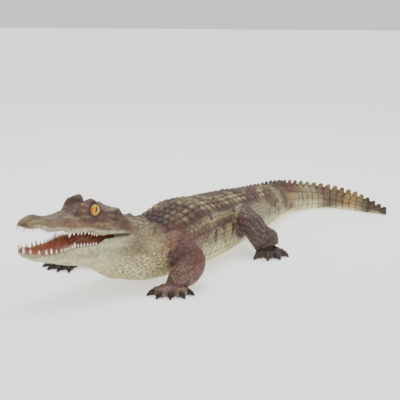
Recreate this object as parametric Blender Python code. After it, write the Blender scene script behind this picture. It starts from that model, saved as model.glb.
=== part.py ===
"""Cast crocodile sculpture, lying on its belly with its jaws open and its tail curled to its left.

Metres, +Z up. The head points to -X, and the origin is on the ground under the middle of the trunk.
The free form is written in hundredths of the animal's length along its back, and the head's in shares of the
head's own length. Its left side faces -Y.
"""

import math

import bmesh
import bpy
import numpy as np

# The animal's length along its back, from snout tip to tail tip.
LENGTH = 1.5
PERCENT = LENGTH / 100

# Scutes run down the back in cross rows: the rows' common pitch, and what share of it they keep at a station.
SCUTE_PITCH = 0.026
PITCH_SHARE = [(16, 0.80), (24, 0.88), (30, 1.02), (56, 1.08), (70, 0.95), (85, 0.92), (94, 0.86), (102, 0.74)]

# Glossy eyes sit in round sockets.
EYE_DIAMETER = 0.027
EYE_CLEARANCE = 0.0003
EYE_SEGMENTS = 12

# The casting is flat below: the belly strip's width, the thickness of the soles, and the toes' rise off them.
BELLY_FLAT_WIDTH = 0.060
SOLE_THICKNESS = 0.012
TOE_RISE = 0.0006

# Teeth: the common height of one above the gum, how deep its root is sunk, and its radius at the root.
TOOTH_HEIGHT = 0.0070
TOOTH_ROOT = 0.0045
TOOTH_RADIUS = 0.0028

# Claws: the part of each toe's length that is claw, and the toes' stoutness on the fore and the hind feet.
CLAW_SHARE = 0.36
FORE_STOUTNESS = 1.08
HIND_STOUTNESS = 1.22

# Course of the spine seen from above: station along the back, and heading in degrees (0 runs to +X). Stations
# are hundredths of the length from the snout; the tail's blunt tip lies a little past the last of them.
HEADING = [
    (17, -27), (24, -13), (33, 0), (43, -1), (52, -1), (60, 2),
    (66, 4), (72, -2), (78, -19), (84, -43), (91, -86), (102, -103),
]
ORIGIN_STATION = 41.5
NECK_STATIONS = [14.0, 15.4, 16.6, 17.8]
FIRST_ROW = 16.0
LAST_STATION = 101.8

# Cross-sections of neck, trunk and tail: station, and half width, height of back, height of belly, all in
# hundredths of the length. Level is the share of the height at which a section is widest.
HALF_WIDTH = [
    (14, 3.5), (16, 4.3), (18, 4.95), (20, 5.5), (24, 6.0), (33, 6.3), (42, 6.0), (50, 5.2), (60, 4.3), (68, 3.7),
    (75, 2.9), (90, 1.45), (98, 0.8), (102, 0.45),
]
BACK = [
    (14, 8.0), (17, 8.35), (20, 8.6), (24, 9.3), (28, 9.9), (31, 10.55), (33, 10.9), (36, 10.9), (40, 10.5),
    (46, 10.1), (50, 9.65), (56, 8.85), (62, 8.15), (68, 7.15), (75, 5.95), (90, 3.6), (98, 2.0), (102, 1.1),
]
BELLY = [
    (14, 4.4), (16, 2.8), (18, 1.6), (20, 1.0), (22, 0.75), (24, 0.7), (27, 0.72), (30, 0.5), (34, 0.1), (37, 0.0),
    (102, 0.0),
]
LEVEL = [(15, 0.50), (33, 0.42), (50, 0.42), (70, 0.45), (102, 0.5)]
ROUND_ABOVE = [(15, 2.2), (33, 2.5), (50, 2.3), (70, 2.0), (102, 2.0)]
ROUND_BELOW = [(15, 2.2), (33, 2.8), (50, 2.8), (70, 2.7), (102, 2.4)]

# Rows of scutes on each side of the back: where each row's ridge lies across the half width, from the midline
# out, and its height. The two inner rows of each side grow into the tail's double crest, and they meet in a
# single crest near the bend.
ROW_PLACE = [
    [(15, 0.165), (50, 0.165), (62, 0.14), (74, 0.05), (102, 0.03)],
    [(15, 0.49), (50, 0.45), (62, 0.36), (74, 0.10), (102, 0.08)],
    [(15, 0.79), (50, 0.78), (62, 0.74), (74, 0.70), (102, 0.70)],
]
ROW_HEIGHT = [
    [(22.8, 0.0), (24.2, 0.38), (34, 0.40), (38, 0.26), (48, 0.26), (60, 0.22), (66, 0.50), (74, 1.20), (84, 1.25),
     (94, 1.45), (97, 1.15), (102, 0.45)],
    [(22.8, 0.0), (24.2, 0.38), (34, 0.40), (38, 0.26), (50, 0.28), (60, 0.32), (66, 0.75), (74, 1.40), (84, 1.40),
     (94, 1.50), (97, 1.20), (102, 0.45)],
    [(22.8, 0.0), (24.2, 0.30), (34, 0.32), (38, 0.20), (58, 0.12), (66, 0.0), (102, 0.0)],
]
ROW_MARGIN = 0.13
ROW_LIMIT = 0.93
PEAK_PHASE = 0.62
FLANK_ANGLES = [4, -38]

# Head: its length, its joint's place and its heading, and the tilt and roll of each jaw. The upper head is
# thrown up from the joint.
HEAD_LENGTH = 0.164 * LENGTH
JAW_JOINT = (-23.13, 3.2, 8.87)
HEAD_HEADING = -22.7
SKULL_POSE = (12.1, 0.0)
JAW_POSE = (-2.1, -2.5)

# Upper head by share of its length from the joint: half width, crown, lip line, and roof of the mouth.
SKULL_WIDTH = [
    (-0.40, 0.16), (-0.22, 0.235), (0.0, 0.262), (0.22, 0.245), (0.40, 0.215), (0.55, 0.188), (0.70, 0.160),
    (0.80, 0.147), (0.86, 0.137), (0.90, 0.120), (0.93, 0.092), (0.955, 0.055), (0.968, 0.028),
]
SKULL_CROWN = [
    (-0.40, -0.06), (-0.22, 0.05), (-0.06, 0.155), (0.02, 0.212), (0.10, 0.244), (0.24, 0.248), (0.36, 0.222),
    (0.46, 0.172), (0.60, 0.116), (0.70, 0.094), (0.80, 0.094), (0.85, 0.088), (0.89, 0.072), (0.925, 0.050),
    (0.955, 0.026), (0.968, 0.010),
]
SKULL_LIP = [
    (-0.40, -0.12), (-0.10, -0.02), (0.02, 0.012), (0.14, 0.016), (0.26, 0.008), (0.40, 0.022), (0.52, 0.004),
    (0.64, 0.006), (0.74, -0.010), (0.84, 0.010), (0.91, -0.004), (0.968, -0.012),
]
SKULL_ROOF = [(-0.40, 0.0), (0.0, 0.02), (0.3, 0.05), (0.7, 0.04), (0.88, 0.03), (0.968, 0.006)]
SKULL_STATIONS = [
    -0.40, -0.22, -0.06, 0.02, 0.09, 0.16, 0.22, 0.27, 0.31, 0.36, 0.42, 0.47, 0.52, 0.62, 0.72, 0.80, 0.86,
    0.91, 0.945, 0.965,
]
SKULL_ARCH = [-14, 6, 28, 48, 68, 90, 112, 132, 152, 174, 194]
SKULL_POWER = 2.7
SNOUT_TIP = (0.974, 0.0, 0.0)

# Lower jaw and throat, likewise: half width, lip line, underside, and floor of the mouth. Behind the teeth the
# lip line rises to the upper lip, and the mouth closes to a narrow slit.
JAW_WIDTH = [
    (-0.35, 0.22), (-0.10, 0.262), (0.05, 0.262), (0.25, 0.232), (0.45, 0.200), (0.62, 0.172), (0.76, 0.152),
    (0.83, 0.135), (0.88, 0.108), (0.915, 0.080), (0.94, 0.048), (0.953, 0.030),
]
JAW_LIP = [
    (-0.35, 0.05), (-0.05, 0.010), (0.024, 0.012), (0.12, 0.028), (0.219, 0.026), (0.27, -0.001), (0.311, -0.014),
    (0.46, -0.003), (0.62, -0.022), (0.76, -0.021), (0.86, 0.002), (0.953, 0.012),
]
JAW_UNDER = [
    (-0.35, -0.455), (-0.15, -0.470), (0.05, -0.440), (0.20, -0.350), (0.30, -0.285), (0.40, -0.245),
    (0.50, -0.215), (0.66, -0.160), (0.80, -0.112), (0.88, -0.080), (0.925, -0.048), (0.953, -0.018),
]
JAW_FLOOR = [(-0.35, 0.0), (0.05, -0.03), (0.25, -0.075), (0.7, -0.085), (0.88, -0.05), (0.953, -0.01)]
JAW_STATIONS = [
    -0.35, -0.15, -0.05, 0.024, 0.10, 0.16, 0.219, 0.27, 0.311, 0.38, 0.50, 0.62, 0.74, 0.83, 0.88, 0.925, 0.95,
]
JAW_ARCH = [8, -12, -32, -52, -72, -90, -108, -128, -148, -168, -188]
JAW_POWER = 2.4
CHIN_TIP = (0.960, 0.0, -0.003)

# Modelling of the upper head: centre, reach and shift of each push, in shares of the head's length. Those off
# the midline are made on both sides. Firm ones are level on top with steep sides: the knob over each eye.
SKULL_PUSHES = [
    ((0.310, 0.215, 0.140), (0.110, 0.050, 0.05), (0.000, -0.022, 0.0)),
    ((0.300, 0.000, 0.245), (0.140, 0.055, 0.10), (0.000, 0.000, -0.050)),
    ((0.105, 0.165, 0.225), (0.060, 0.055, 0.07), (-0.012, 0.012, 0.030)),
    ((0.825, 0.045, 0.100), (0.055, 0.045, 0.06), (0.000, 0.000, 0.014)),
    ((0.160, 0.240, 0.150), (0.110, 0.050, 0.05), (0.000, -0.020, 0.0)),
]
FIRM_PUSHES = [
    ((0.388, 0.126, 0.215), (0.094, 0.068, 0.16), (0.006, 0.010, 0.098)),
    ((0.468, 0.118, 0.190), (0.036, 0.056, 0.09), (0.008, 0.004, 0.024)),
]
EYE_PLACE = (0.335, 0.158, 0.212)

# Teeth along each half jaw: the first and last place, how many, and which are long. They stand in from the lip
# and lean outwards, both in shares of the head's length, and grow shorter towards the corner of the mouth.
UPPER_TEETH = (0.935, 0.30, 16, (0, 8))
LOWER_TEETH = (0.925, 0.30, 16, (0, 4, 9))
UPPER_INSET = 0.020
LOWER_INSET = 0.018
TOOTH_LEAN = 0.004
TOOTH_FALL = 0.25
LONG_TOOTH = 1.8
TOOTH_SIDES = 4

# Limbs: places of the joints in hundredths of the length, with the limb's half thickness at each.
FORE_LEFT = [
    (-15.6, -2.0, 6.2, 3.2), (-16.7, -5.2, 5.0, 2.6), (-17.1, -7.3, 3.8, 2.3), (-18.9, -7.6, 2.8, 2.1),
    (-20.6, -7.1, 2.0, 1.65), (-21.8, -6.6, 1.0, 1.0),
]
FORE_RIGHT = [
    (-15.0, 3.4, 6.4, 3.1), (-14.4, 6.9, 5.5, 2.7), (-13.6, 10.0, 3.9, 2.15), (-15.3, 12.4, 2.9, 1.8),
    (-17.1, 14.6, 2.0, 1.6), (-18.2, 15.7, 0.9, 0.9),
]
HIND_LEFT = [
    (6.4, -1.8, 5.2, 3.2), (4.8, -5.2, 5.6, 2.9), (3.2, -7.8, 5.6, 2.15), (3.2, -9.2, 4.0, 2.0),
    (4.5, -10.4, 2.4, 2.2), (4.4, -11.3, 1.2, 1.5),
]
HIND_RIGHT = [
    (8.0, 1.8, 5.2, 3.2), (7.2, 5.2, 5.5, 2.9), (6.0, 7.8, 5.5, 2.15), (6.8, 9.3, 3.9, 2.0),
    (8.8, 10.5, 2.4, 2.2), (9.0, 11.3, 1.2, 1.5),
]
LIMB_SIDES = 9
LIMB_RINGS = 9
PALM_REACH = 1.55

# Toes of each foot: direction in degrees and length in hundredths of the length, from the inner toe out.
FORE_LEFT_TOES = [(-223, 4.0), (-190, 3.6), (-152, 3.2), (-112, 3.5), (-78, 3.8)]
FORE_RIGHT_TOES = [(216, 4.3), (187, 4.15), (158, 4.4), (130, 4.7), (98, 3.4)]
HIND_LEFT_TOES = [(-194, 4.4), (-160, 4.2), (-126, 3.9), (-86, 3.7)]
HIND_RIGHT_TOES = [(198, 4.3), (164, 4.15), (130, 4.0), (92, 3.7)]
TOE_SIDES = 6

SKIN_COLOUR = (0.42, 0.36, 0.24, 1.0)
EYE_COLOUR = (0.80, 0.42, 0.02, 1.0)


def clear_scene():
    for item in list(bpy.data.objects):
        bpy.data.objects.remove(item)


def painted(name, colour, roughness):
    material = bpy.data.materials.new(name)
    material.use_nodes = True
    shader = material.node_tree.nodes["Principled BSDF"]
    shader.inputs["Base Color"].default_value = colour
    shader.inputs["Roughness"].default_value = roughness
    shader.inputs["Metallic"].default_value = 0.0
    return material


def follow(table, places):
    """Smooth monotone curve through a table of (place, value) rows, read at the given places."""
    knots = np.array([row[0] for row in table], float)
    values = np.array([row[1] for row in table], float)
    places = np.clip(np.asarray(places, float), knots[0], knots[-1])
    steps = np.diff(knots)
    slopes = np.diff(values) / steps
    tangents = np.concatenate([slopes[:1], np.zeros(len(knots) - 2), slopes[-1:]])
    for i in range(1, len(knots) - 1):
        if slopes[i - 1] * slopes[i] > 0:
            before = 2 * steps[i] + steps[i - 1]
            after = steps[i] + 2 * steps[i - 1]
            tangents[i] = (before + after) / (before / slopes[i - 1] + after / slopes[i])
    k = np.clip(np.searchsorted(knots, places, side="right") - 1, 0, len(knots) - 2)
    u = (places - knots[k]) / steps[k]
    start = (2 * u**3 - 3 * u**2 + 1) * values[k] + (u**3 - 2 * u**2 + u) * steps[k] * tangents[k]
    end = (3 * u**2 - 2 * u**3) * values[k + 1] + (u**3 - u**2) * steps[k] * tangents[k + 1]
    return start + end


def spine(stations):
    """Plan position and heading of the spine at the stations, by adding up short steps along the heading."""
    fine = np.linspace(0, 102, 2041)
    heading = np.radians(follow(HEADING, fine))
    step = (fine[1] - fine[0]) * PERCENT
    along_x = np.concatenate([[0], np.cumsum((np.cos(heading[1:]) + np.cos(heading[:-1])) / 2)]) * step
    along_y = np.concatenate([[0], np.cumsum((np.sin(heading[1:]) + np.sin(heading[:-1])) / 2)]) * step
    along_x -= np.interp(ORIGIN_STATION, fine, along_x)
    along_y -= np.interp(ORIGIN_STATION, fine, along_y)
    return (
        np.interp(stations, fine, along_x),
        np.interp(stations, fine, along_y),
        np.interp(stations, fine, heading),
    )


def mesh_object(name, points, faces):
    mesh = bpy.data.meshes.new(name)
    mesh.from_pydata([tuple(p) for p in points], [], faces)
    made = bpy.data.objects.new(name, mesh)
    bpy.context.scene.collection.objects.link(made)
    return made


def lofted(name, rings, tip=None):
    """Closed skin over rings of equally many points, with a fan to the middle at each end, or to a tip."""
    rings = np.asarray(rings, float)
    count, sides = rings.shape[:2]
    points = [*rings.reshape(-1, 3), rings[0].mean(0), rings[-1].mean(0) if tip is None else tip]
    first, last = count * sides, count * sides + 1
    faces = []
    for j in range(sides):
        k = (j + 1) % sides
        faces.append((first, j, k))
        faces.append((last, (count - 1) * sides + k, (count - 1) * sides + j))
        for i in range(count - 1):
            faces.append((i * sides + j, (i + 1) * sides + j, (i + 1) * sides + k, i * sides + k))
    made = mesh_object(name, points, faces)
    shell = bmesh.new()
    shell.from_mesh(made.data)
    bmesh.ops.triangulate(shell, faces=shell.faces)
    bmesh.ops.recalc_face_normals(shell, faces=shell.faces)
    if shell.calc_volume(signed=True) < 0:
        bmesh.ops.reverse_faces(shell, faces=shell.faces)
    shell.to_mesh(made.data)
    shell.free()
    return made


def bowed(angle, power):
    """Cosine and sine of an angle in degrees, squared off to a superellipse."""
    c, s = math.cos(math.radians(angle)), math.sin(math.radians(angle))
    return math.copysign(abs(c) ** (2 / power), c), math.copysign(abs(s) ** (2 / power), s)


def body_columns():
    """Columns of points round a section: (kind, side, row). Scute ridges and the valleys between them lie
    across the back, then the flanks and the belly."""
    left = [
        ("valley", 1, 2.5), ("ridge", 1, 2), ("valley", 1, 1.5), ("ridge", 1, 1), ("valley", 1, 0.5), ("ridge", 1, 0),
    ]
    right = [(kind, -side, row) for kind, side, row in reversed(left)]
    flank_left = [("side", 1, angle) for angle in FLANK_ANGLES[::-1]]
    flank_right = [("side", -1, angle) for angle in FLANK_ANGLES]
    return flank_left + left + [("valley", 1, 0.0)] + right + flank_right + [("flat", -1, 0), ("flat", 1, 0)]


def body_ring(station, peak):
    """One section of neck, trunk or tail. At a peak the scutes' ridges stand up from the back."""
    centre_x, centre_y, heading = spine(station)
    half = float(follow(HALF_WIDTH, station)) * PERCENT
    back = float(follow(BACK, station)) * PERCENT
    belly = float(follow(BELLY, station)) * PERCENT
    widest = belly + (back - belly) * float(follow(LEVEL, station))
    above = float(follow(ROUND_ABOVE, station))
    below = float(follow(ROUND_BELOW, station))
    places = [float(follow(row, station)) for row in ROW_PLACE]
    heights = [float(follow(row, station)) * PERCENT for row in ROW_HEIGHT]
    edges = [0.0, (places[0] + places[1]) / 2, (places[1] + places[2]) / 2, min(places[2] + ROW_MARGIN, ROW_LIMIT)]
    points = []
    for kind, side, row in body_columns():
        lift = 0.0
        if kind == "flat":
            across, high = min(BELLY_FLAT_WIDTH / 2, 0.55 * half), belly
        elif kind == "side":
            power = above if row > 0 else below
            across, high = bowed(row, power)
            across *= half
            high = widest + high * ((back - widest) if high > 0 else (widest - belly))
        else:
            share = min(places[int(row)] if kind == "ridge" else edges[math.ceil(row)], 1.0)
            across = share * half
            high = widest + (back - widest) * (1 - share**above) ** (1 / above)
            if kind == "ridge" and peak:
                lift = heights[int(row)]
        across *= side
        points.append((
            centre_x - math.sin(heading) * across,
            centre_y + math.cos(heading) * across,
            high + lift,
        ))
    return points


def row_borders():
    """Stations at which one cross row of scutes ends and the next begins."""
    borders = [FIRST_ROW]
    while borders[-1] < LAST_STATION:
        borders.append(borders[-1] + SCUTE_PITCH / PERCENT * float(follow(PITCH_SHARE, borders[-1])))
    return borders


def body():
    """Neck, trunk and tail in one, with two sections to each cross row of scutes."""
    rings = [body_ring(station, False) for station in NECK_STATIONS]
    borders = row_borders()
    for start, stop in zip(borders[:-1], borders[1:]):
        if start > NECK_STATIONS[-1] and stop < LAST_STATION:
            rings.append(body_ring(start, False))
            rings.append(body_ring(start + PEAK_PHASE * (stop - start), True))
    rings.append(body_ring(LAST_STATION, False))
    return lofted("body", rings)


def head_axes(pose):
    """Forward, left and up of the head for a tilt and a roll in degrees."""
    heading, tilt, roll = (math.radians(angle) for angle in (HEAD_HEADING, *pose))
    forward = np.array([-math.cos(heading) * math.cos(tilt), -math.sin(heading) * math.cos(tilt), math.sin(tilt)])
    level = np.array([math.sin(heading), -math.cos(heading), 0.0])
    left = level * math.cos(roll) + np.cross(forward, level) * math.sin(roll)
    return forward, left, np.cross(forward, left)


def head_to_world(points, pose):
    """Points given in shares of the head's length, placed at the jaw joint."""
    forward, left, up = head_axes(pose)
    points = np.asarray(points, float) * HEAD_LENGTH
    joint = np.array(JAW_JOINT) * PERCENT
    return joint + points[..., :1] * forward + points[..., 1:2] * left + points[..., 2:3] * up


def pushed(points, pushes, firmness):
    """Points moved by soft or firm pushes, each made on both sides of the midline."""
    moved = points.copy()
    for centre, reach, shift in pushes:
        for side in (1, -1) if centre[1] else (1,):
            flip = np.array([1, side, 1])
            distance = (((points - np.array(centre) * flip) / np.array(reach)) ** 2).sum(-1)
            moved += np.exp(-(distance**firmness))[..., None] * np.array(shift) * flip
    return moved


def skull():
    """Upper head: crown and cheeks in a squared arch over the lip line, and a hollow roof below."""
    rings = []
    for place in SKULL_STATIONS:
        half = float(follow(SKULL_WIDTH, place))
        crown, lip = float(follow(SKULL_CROWN, place)), float(follow(SKULL_LIP, place))
        roof = lip + float(follow(SKULL_ROOF, place))
        ring = []
        for angle in SKULL_ARCH:
            c, s = bowed(angle, SKULL_POWER)
            ring.append((place, half * c, lip + max(s, -0.04) * (crown - lip)))
        for share in (-0.78, -0.35, 0.35, 0.78):
            ring.append((place, share * half, lip + (roof - lip) * (1 - abs(share) ** 2.5)))
        rings.append(ring)
    rings = pushed(pushed(np.array(rings), SKULL_PUSHES, 1), FIRM_PUSHES, 2)
    return lofted("skull", head_to_world(rings, SKULL_POSE), head_to_world(SNOUT_TIP, SKULL_POSE))


def jaw():
    """Lower jaw and throat: a round keel below the lip line, with the floor of the mouth let in above."""
    rings = []
    for place in JAW_STATIONS:
        half = float(follow(JAW_WIDTH, place))
        lip, under = float(follow(JAW_LIP, place)), float(follow(JAW_UNDER, place))
        floor = lip + float(follow(JAW_FLOOR, place))
        ring = []
        for angle in JAW_ARCH:
            c, s = bowed(angle, JAW_POWER)
            ring.append((place, half * c, lip + min(s, 0.04) * (lip - under)))
        for share in (-0.82, -0.55, 0.0, 0.55, 0.82):
            ring.append((place, share * half, lip + (floor - lip) * (1 - abs(share) ** 3)))
        rings.append(ring)
    return lofted("jaw", head_to_world(np.array(rings), JAW_POSE), head_to_world(CHIN_TIP, JAW_POSE))


def tooth(name, base, tip, radius):
    """Cone of a tooth, from a sunk base to its tip."""
    axis = tip - base
    side = np.cross(axis, (0.0, 0.3, 1.0))
    side /= np.linalg.norm(side)
    other = np.cross(axis, side)
    other /= np.linalg.norm(other)
    turns = [2 * math.pi * k / TOOTH_SIDES for k in range(TOOTH_SIDES)]
    return lofted(name, [[base + radius * (math.cos(t) * side + math.sin(t) * other) for t in turns]], tip)


def tooth_row(name, row, width, lip, pose, down, inset):
    """Teeth on both halves of one jaw, set in from the lip."""
    first, last, count, long_ones = row
    made = []
    for i in range(count):
        share = i / (count - 1)
        place = first + (last - first) * share
        growth = (LONG_TOOTH if i in long_ones else 1.0) * (1 - TOOTH_FALL * share)
        half = float(follow(width, place)) - inset
        edge = float(follow(lip, place))
        for side in (1, -1):
            base, top = head_to_world(
                [
                    (place, side * half, edge - down * TOOTH_ROOT / HEAD_LENGTH),
                    (place, side * (half + TOOTH_LEAN), edge + down * growth * TOOTH_HEIGHT / HEAD_LENGTH),
                ],
                pose,
            )
            made.append(tooth(f"{name}_{i}_{side}", base, top, TOOTH_RADIUS * (0.7 + 0.3 * growth)))
    return made


def limb(name, joints):
    """Limb through its joints, flattened where it ends in the palm."""
    knots = np.arange(len(joints), dtype=float)
    places = np.linspace(0, knots[-1], LIMB_RINGS)
    path = np.stack([follow(list(zip(knots, [j[k] for j in joints])), places) for k in range(4)], -1) * PERCENT
    rings = []
    for i, (x, y, z, radius) in enumerate(path):
        before, after = path[max(i - 2, 0)][:3], path[min(i + 2, len(path) - 1)][:3]
        along = (after - before) / np.linalg.norm(after - before)
        if i == 0:
            side = np.cross(along, (0, 0, 1.0))
        side = side - along * side.dot(along)
        side /= np.linalg.norm(side)
        up = np.cross(side, along)
        ring = []
        for k in range(LIMB_SIDES):
            turn = 2 * math.pi * k / LIMB_SIDES
            point = np.array([x, y, z]) + radius * (math.cos(turn) * side + math.sin(turn) * up)
            ring.append((point[0], point[1], max(point[2], 2 * TOE_RISE)))
        rings.append(ring)
    return lofted(name, rings)


def toe(name, palm, degrees, long, stoutness):
    """Toe from the palm out, with a knuckle, ending in a pointed claw."""
    direction = np.array([math.cos(math.radians(degrees)), math.sin(math.radians(degrees)), 0.0])
    side = np.array([-direction[1], direction[0], 0.0])
    claw = 1 - CLAW_SHARE
    rings = []
    for share, half, high in (
        (0.13, 0.80, 1.65), (0.38, 0.76, 1.42), (claw, 0.64, 1.12), (claw + 0.03, 0.46, 0.92), (0.86, 0.30, 0.62),
    ):
        middle = palm + direction * long * share
        half, high = half * stoutness * PERCENT, high * PERCENT
        rings.append([
            middle + side * half * math.cos(2 * math.pi * k / TOE_SIDES)
            + np.array([0, 0, TOE_RISE + high * (0.5 + math.sin(2 * math.pi * k / TOE_SIDES) / math.sqrt(3))])
            for k in range(TOE_SIDES)
        ])
    return lofted(name, rings, palm + direction * long + np.array([0, 0, 0.12 * PERCENT]))


def foot(name, joints, toes, stoutness):
    """Low pad under the palm, and the toes."""
    palm = np.array([joints[-1][0], joints[-1][1], 0.0]) * PERCENT
    radius = PALM_REACH * PERCENT
    rings = []
    for share, high in ((0.95, 0.0), (1.0, 0.5), (0.9, 1.1), (0.65, 1.6), (0.3, 1.9)):
        rings.append([
            palm + np.array([
                radius * share * math.cos(2 * math.pi * k / LIMB_SIDES),
                radius * share * math.sin(2 * math.pi * k / LIMB_SIDES),
                high * SOLE_THICKNESS,
            ])
            for k in range(LIMB_SIDES)
        ])
    made = [lofted(f"{name}_pad", rings)]
    for i, (degrees, long) in enumerate(toes):
        made.append(toe(f"{name}_toe_{i}", palm, degrees, long * PERCENT, stoutness))
    return made


def ball(name, centre, diameter):
    mesh = bpy.data.meshes.new(name)
    shell = bmesh.new()
    bmesh.ops.create_uvsphere(
        shell, u_segments=EYE_SEGMENTS, v_segments=EYE_SEGMENTS // 2, radius=diameter / 2,
    )
    shell.to_mesh(mesh)
    shell.free()
    mesh.shade_smooth()
    made = bpy.data.objects.new(name, mesh)
    made.location = centre
    bpy.context.scene.collection.objects.link(made)
    return made


def set_aside(helpers, name):
    """Collection of shapes that a Boolean uses and that aren't pieces themselves."""
    group = bpy.data.collections.new(name)
    bpy.context.scene.collection.children.link(group)
    for helper in helpers:
        bpy.context.scene.collection.objects.unlink(helper)
        group.objects.link(helper)
        helper.hide_render = True
        helper.display_type = "WIRE"
    return group


def combine(target, operation, group):
    modifier = target.modifiers.new(operation.lower(), "BOOLEAN")
    modifier.operation = operation
    modifier.operand_type = "COLLECTION"
    modifier.solver = "EXACT"
    modifier.collection = group


def main():
    clear_scene()
    skin = painted("painted_resin", SKIN_COLOUR, 0.55)
    amber = painted("eye_resin", EYE_COLOUR, 0.08)

    upper_head = skull()
    sockets = []
    for name, side in (("left_eye", 1), ("right_eye", -1)):
        centre = head_to_world([EYE_PLACE[0], side * EYE_PLACE[1], EYE_PLACE[2]], SKULL_POSE)
        eye = ball(name, centre, EYE_DIAMETER)
        eye.data.materials.append(amber)
        sockets.append(ball(f"{name}_socket", centre, EYE_DIAMETER + 2 * EYE_CLEARANCE))
    combine(upper_head, "DIFFERENCE", set_aside(sockets, "sockets"))

    crocodile = body()
    crocodile.name = "crocodile"
    shapes = [upper_head, jaw()]
    shapes += tooth_row("upper_tooth", UPPER_TEETH, SKULL_WIDTH, SKULL_LIP, SKULL_POSE, -1, UPPER_INSET)
    shapes += tooth_row("lower_tooth", LOWER_TEETH, JAW_WIDTH, JAW_LIP, JAW_POSE, 1, LOWER_INSET)
    for name, joints, toes, stoutness in (
        ("fore_left", FORE_LEFT, FORE_LEFT_TOES, FORE_STOUTNESS),
        ("fore_right", FORE_RIGHT, FORE_RIGHT_TOES, FORE_STOUTNESS),
        ("hind_left", HIND_LEFT, HIND_LEFT_TOES, HIND_STOUTNESS),
        ("hind_right", HIND_RIGHT, HIND_RIGHT_TOES, HIND_STOUTNESS),
    ):
        shapes.append(limb(name, joints))
        shapes += foot(name, joints, toes, stoutness)

    combine(crocodile, "UNION", set_aside(shapes, "shapes"))
    crocodile.data.materials.append(skin)


main()
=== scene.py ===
# Garden crocodile: cast resin, painted by hand in khaki, cream and purple brown, with set-in glossy eyes.
# Metres, head towards -X, left side towards -Y. Shapes are worked out on grids, joined, and carved.

import math
from itertools import product

import bpy
import numpy as np
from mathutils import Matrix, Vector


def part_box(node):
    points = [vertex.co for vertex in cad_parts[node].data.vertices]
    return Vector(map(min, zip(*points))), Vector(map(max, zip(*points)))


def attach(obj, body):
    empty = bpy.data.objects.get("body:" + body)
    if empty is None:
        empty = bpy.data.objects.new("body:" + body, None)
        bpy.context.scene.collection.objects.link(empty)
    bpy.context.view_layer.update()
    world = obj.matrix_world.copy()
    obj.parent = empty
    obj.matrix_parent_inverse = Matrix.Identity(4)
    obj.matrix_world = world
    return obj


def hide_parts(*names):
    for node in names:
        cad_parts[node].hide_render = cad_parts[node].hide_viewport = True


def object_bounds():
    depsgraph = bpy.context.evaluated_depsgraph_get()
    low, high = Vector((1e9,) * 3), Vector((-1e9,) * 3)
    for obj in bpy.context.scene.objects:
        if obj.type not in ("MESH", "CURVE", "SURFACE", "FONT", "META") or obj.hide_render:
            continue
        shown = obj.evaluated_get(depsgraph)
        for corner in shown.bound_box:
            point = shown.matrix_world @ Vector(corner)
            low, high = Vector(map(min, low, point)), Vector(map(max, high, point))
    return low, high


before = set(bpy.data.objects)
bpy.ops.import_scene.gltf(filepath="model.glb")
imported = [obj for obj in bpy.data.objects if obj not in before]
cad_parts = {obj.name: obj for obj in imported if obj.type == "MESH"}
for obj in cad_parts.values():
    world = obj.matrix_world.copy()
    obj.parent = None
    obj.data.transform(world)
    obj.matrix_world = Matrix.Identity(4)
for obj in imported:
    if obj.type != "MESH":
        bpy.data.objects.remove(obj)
cadBox = [[float(v) for v in corner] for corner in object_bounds()]
print("frame loaded")


# Numbers along the body are hundredths of its length from the snout tip.
# The head's are shares of its own length.
bodyForm = {
    "length": 1.5,
    "pitch": 0.026,
    "pitchShare": [(16, 0.80), (24, 0.88), (30, 1.02), (56, 1.08), (70, 0.95), (85, 0.92), (94, 0.86),
                   (102, 0.74)],
    "firstRow": 16.0,
    "originStation": 41.5,
    "heading": [(17, -27), (24, -13), (33, 0), (43, -1), (52, -1), (60, 2),
                (66, 4), (72, -2), (78, -19), (84, -43), (91, -86), (102, -103)],
    "halfWidth": [(14, 3.5), (16, 4.3), (18, 4.95), (20, 5.5), (24, 6.0), (33, 6.3), (42, 6.0),
                  (50, 5.2), (60, 4.3), (68, 3.7), (75, 2.9), (90, 1.45), (98, 0.8), (102, 0.45)],
    "back": [(14, 8.0), (17, 8.35), (20, 8.6), (24, 9.3), (28, 9.95), (31, 10.5), (33, 10.9), (36, 10.85),
             (40, 10.35), (46, 9.95), (50, 9.6), (56, 8.85), (62, 8.15), (68, 7.15), (75, 5.95), (90, 3.6),
             (98, 2.0), (102, 1.1)],
    "belly": [(14, 4.4), (16, 2.8), (18, 1.6), (20, 1.05), (22, 0.75), (24, 0.7), (27, 0.72), (30, 0.5),
              (34, 0.1), (37, 0.0), (102, 0.0)],
    "level": [(15, 0.50), (33, 0.42), (50, 0.42), (70, 0.45), (102, 0.5)],
    "roundAbove": [(15, 2.2), (33, 2.5), (50, 2.3), (70, 2.0), (102, 2.0)],
    "roundBelow": [(15, 2.2), (33, 2.8), (50, 2.8), (70, 2.7), (102, 2.4)],
    "first": 14.0,
    "last": 101.8,
}
percent = bodyForm["length"] / 100

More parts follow.
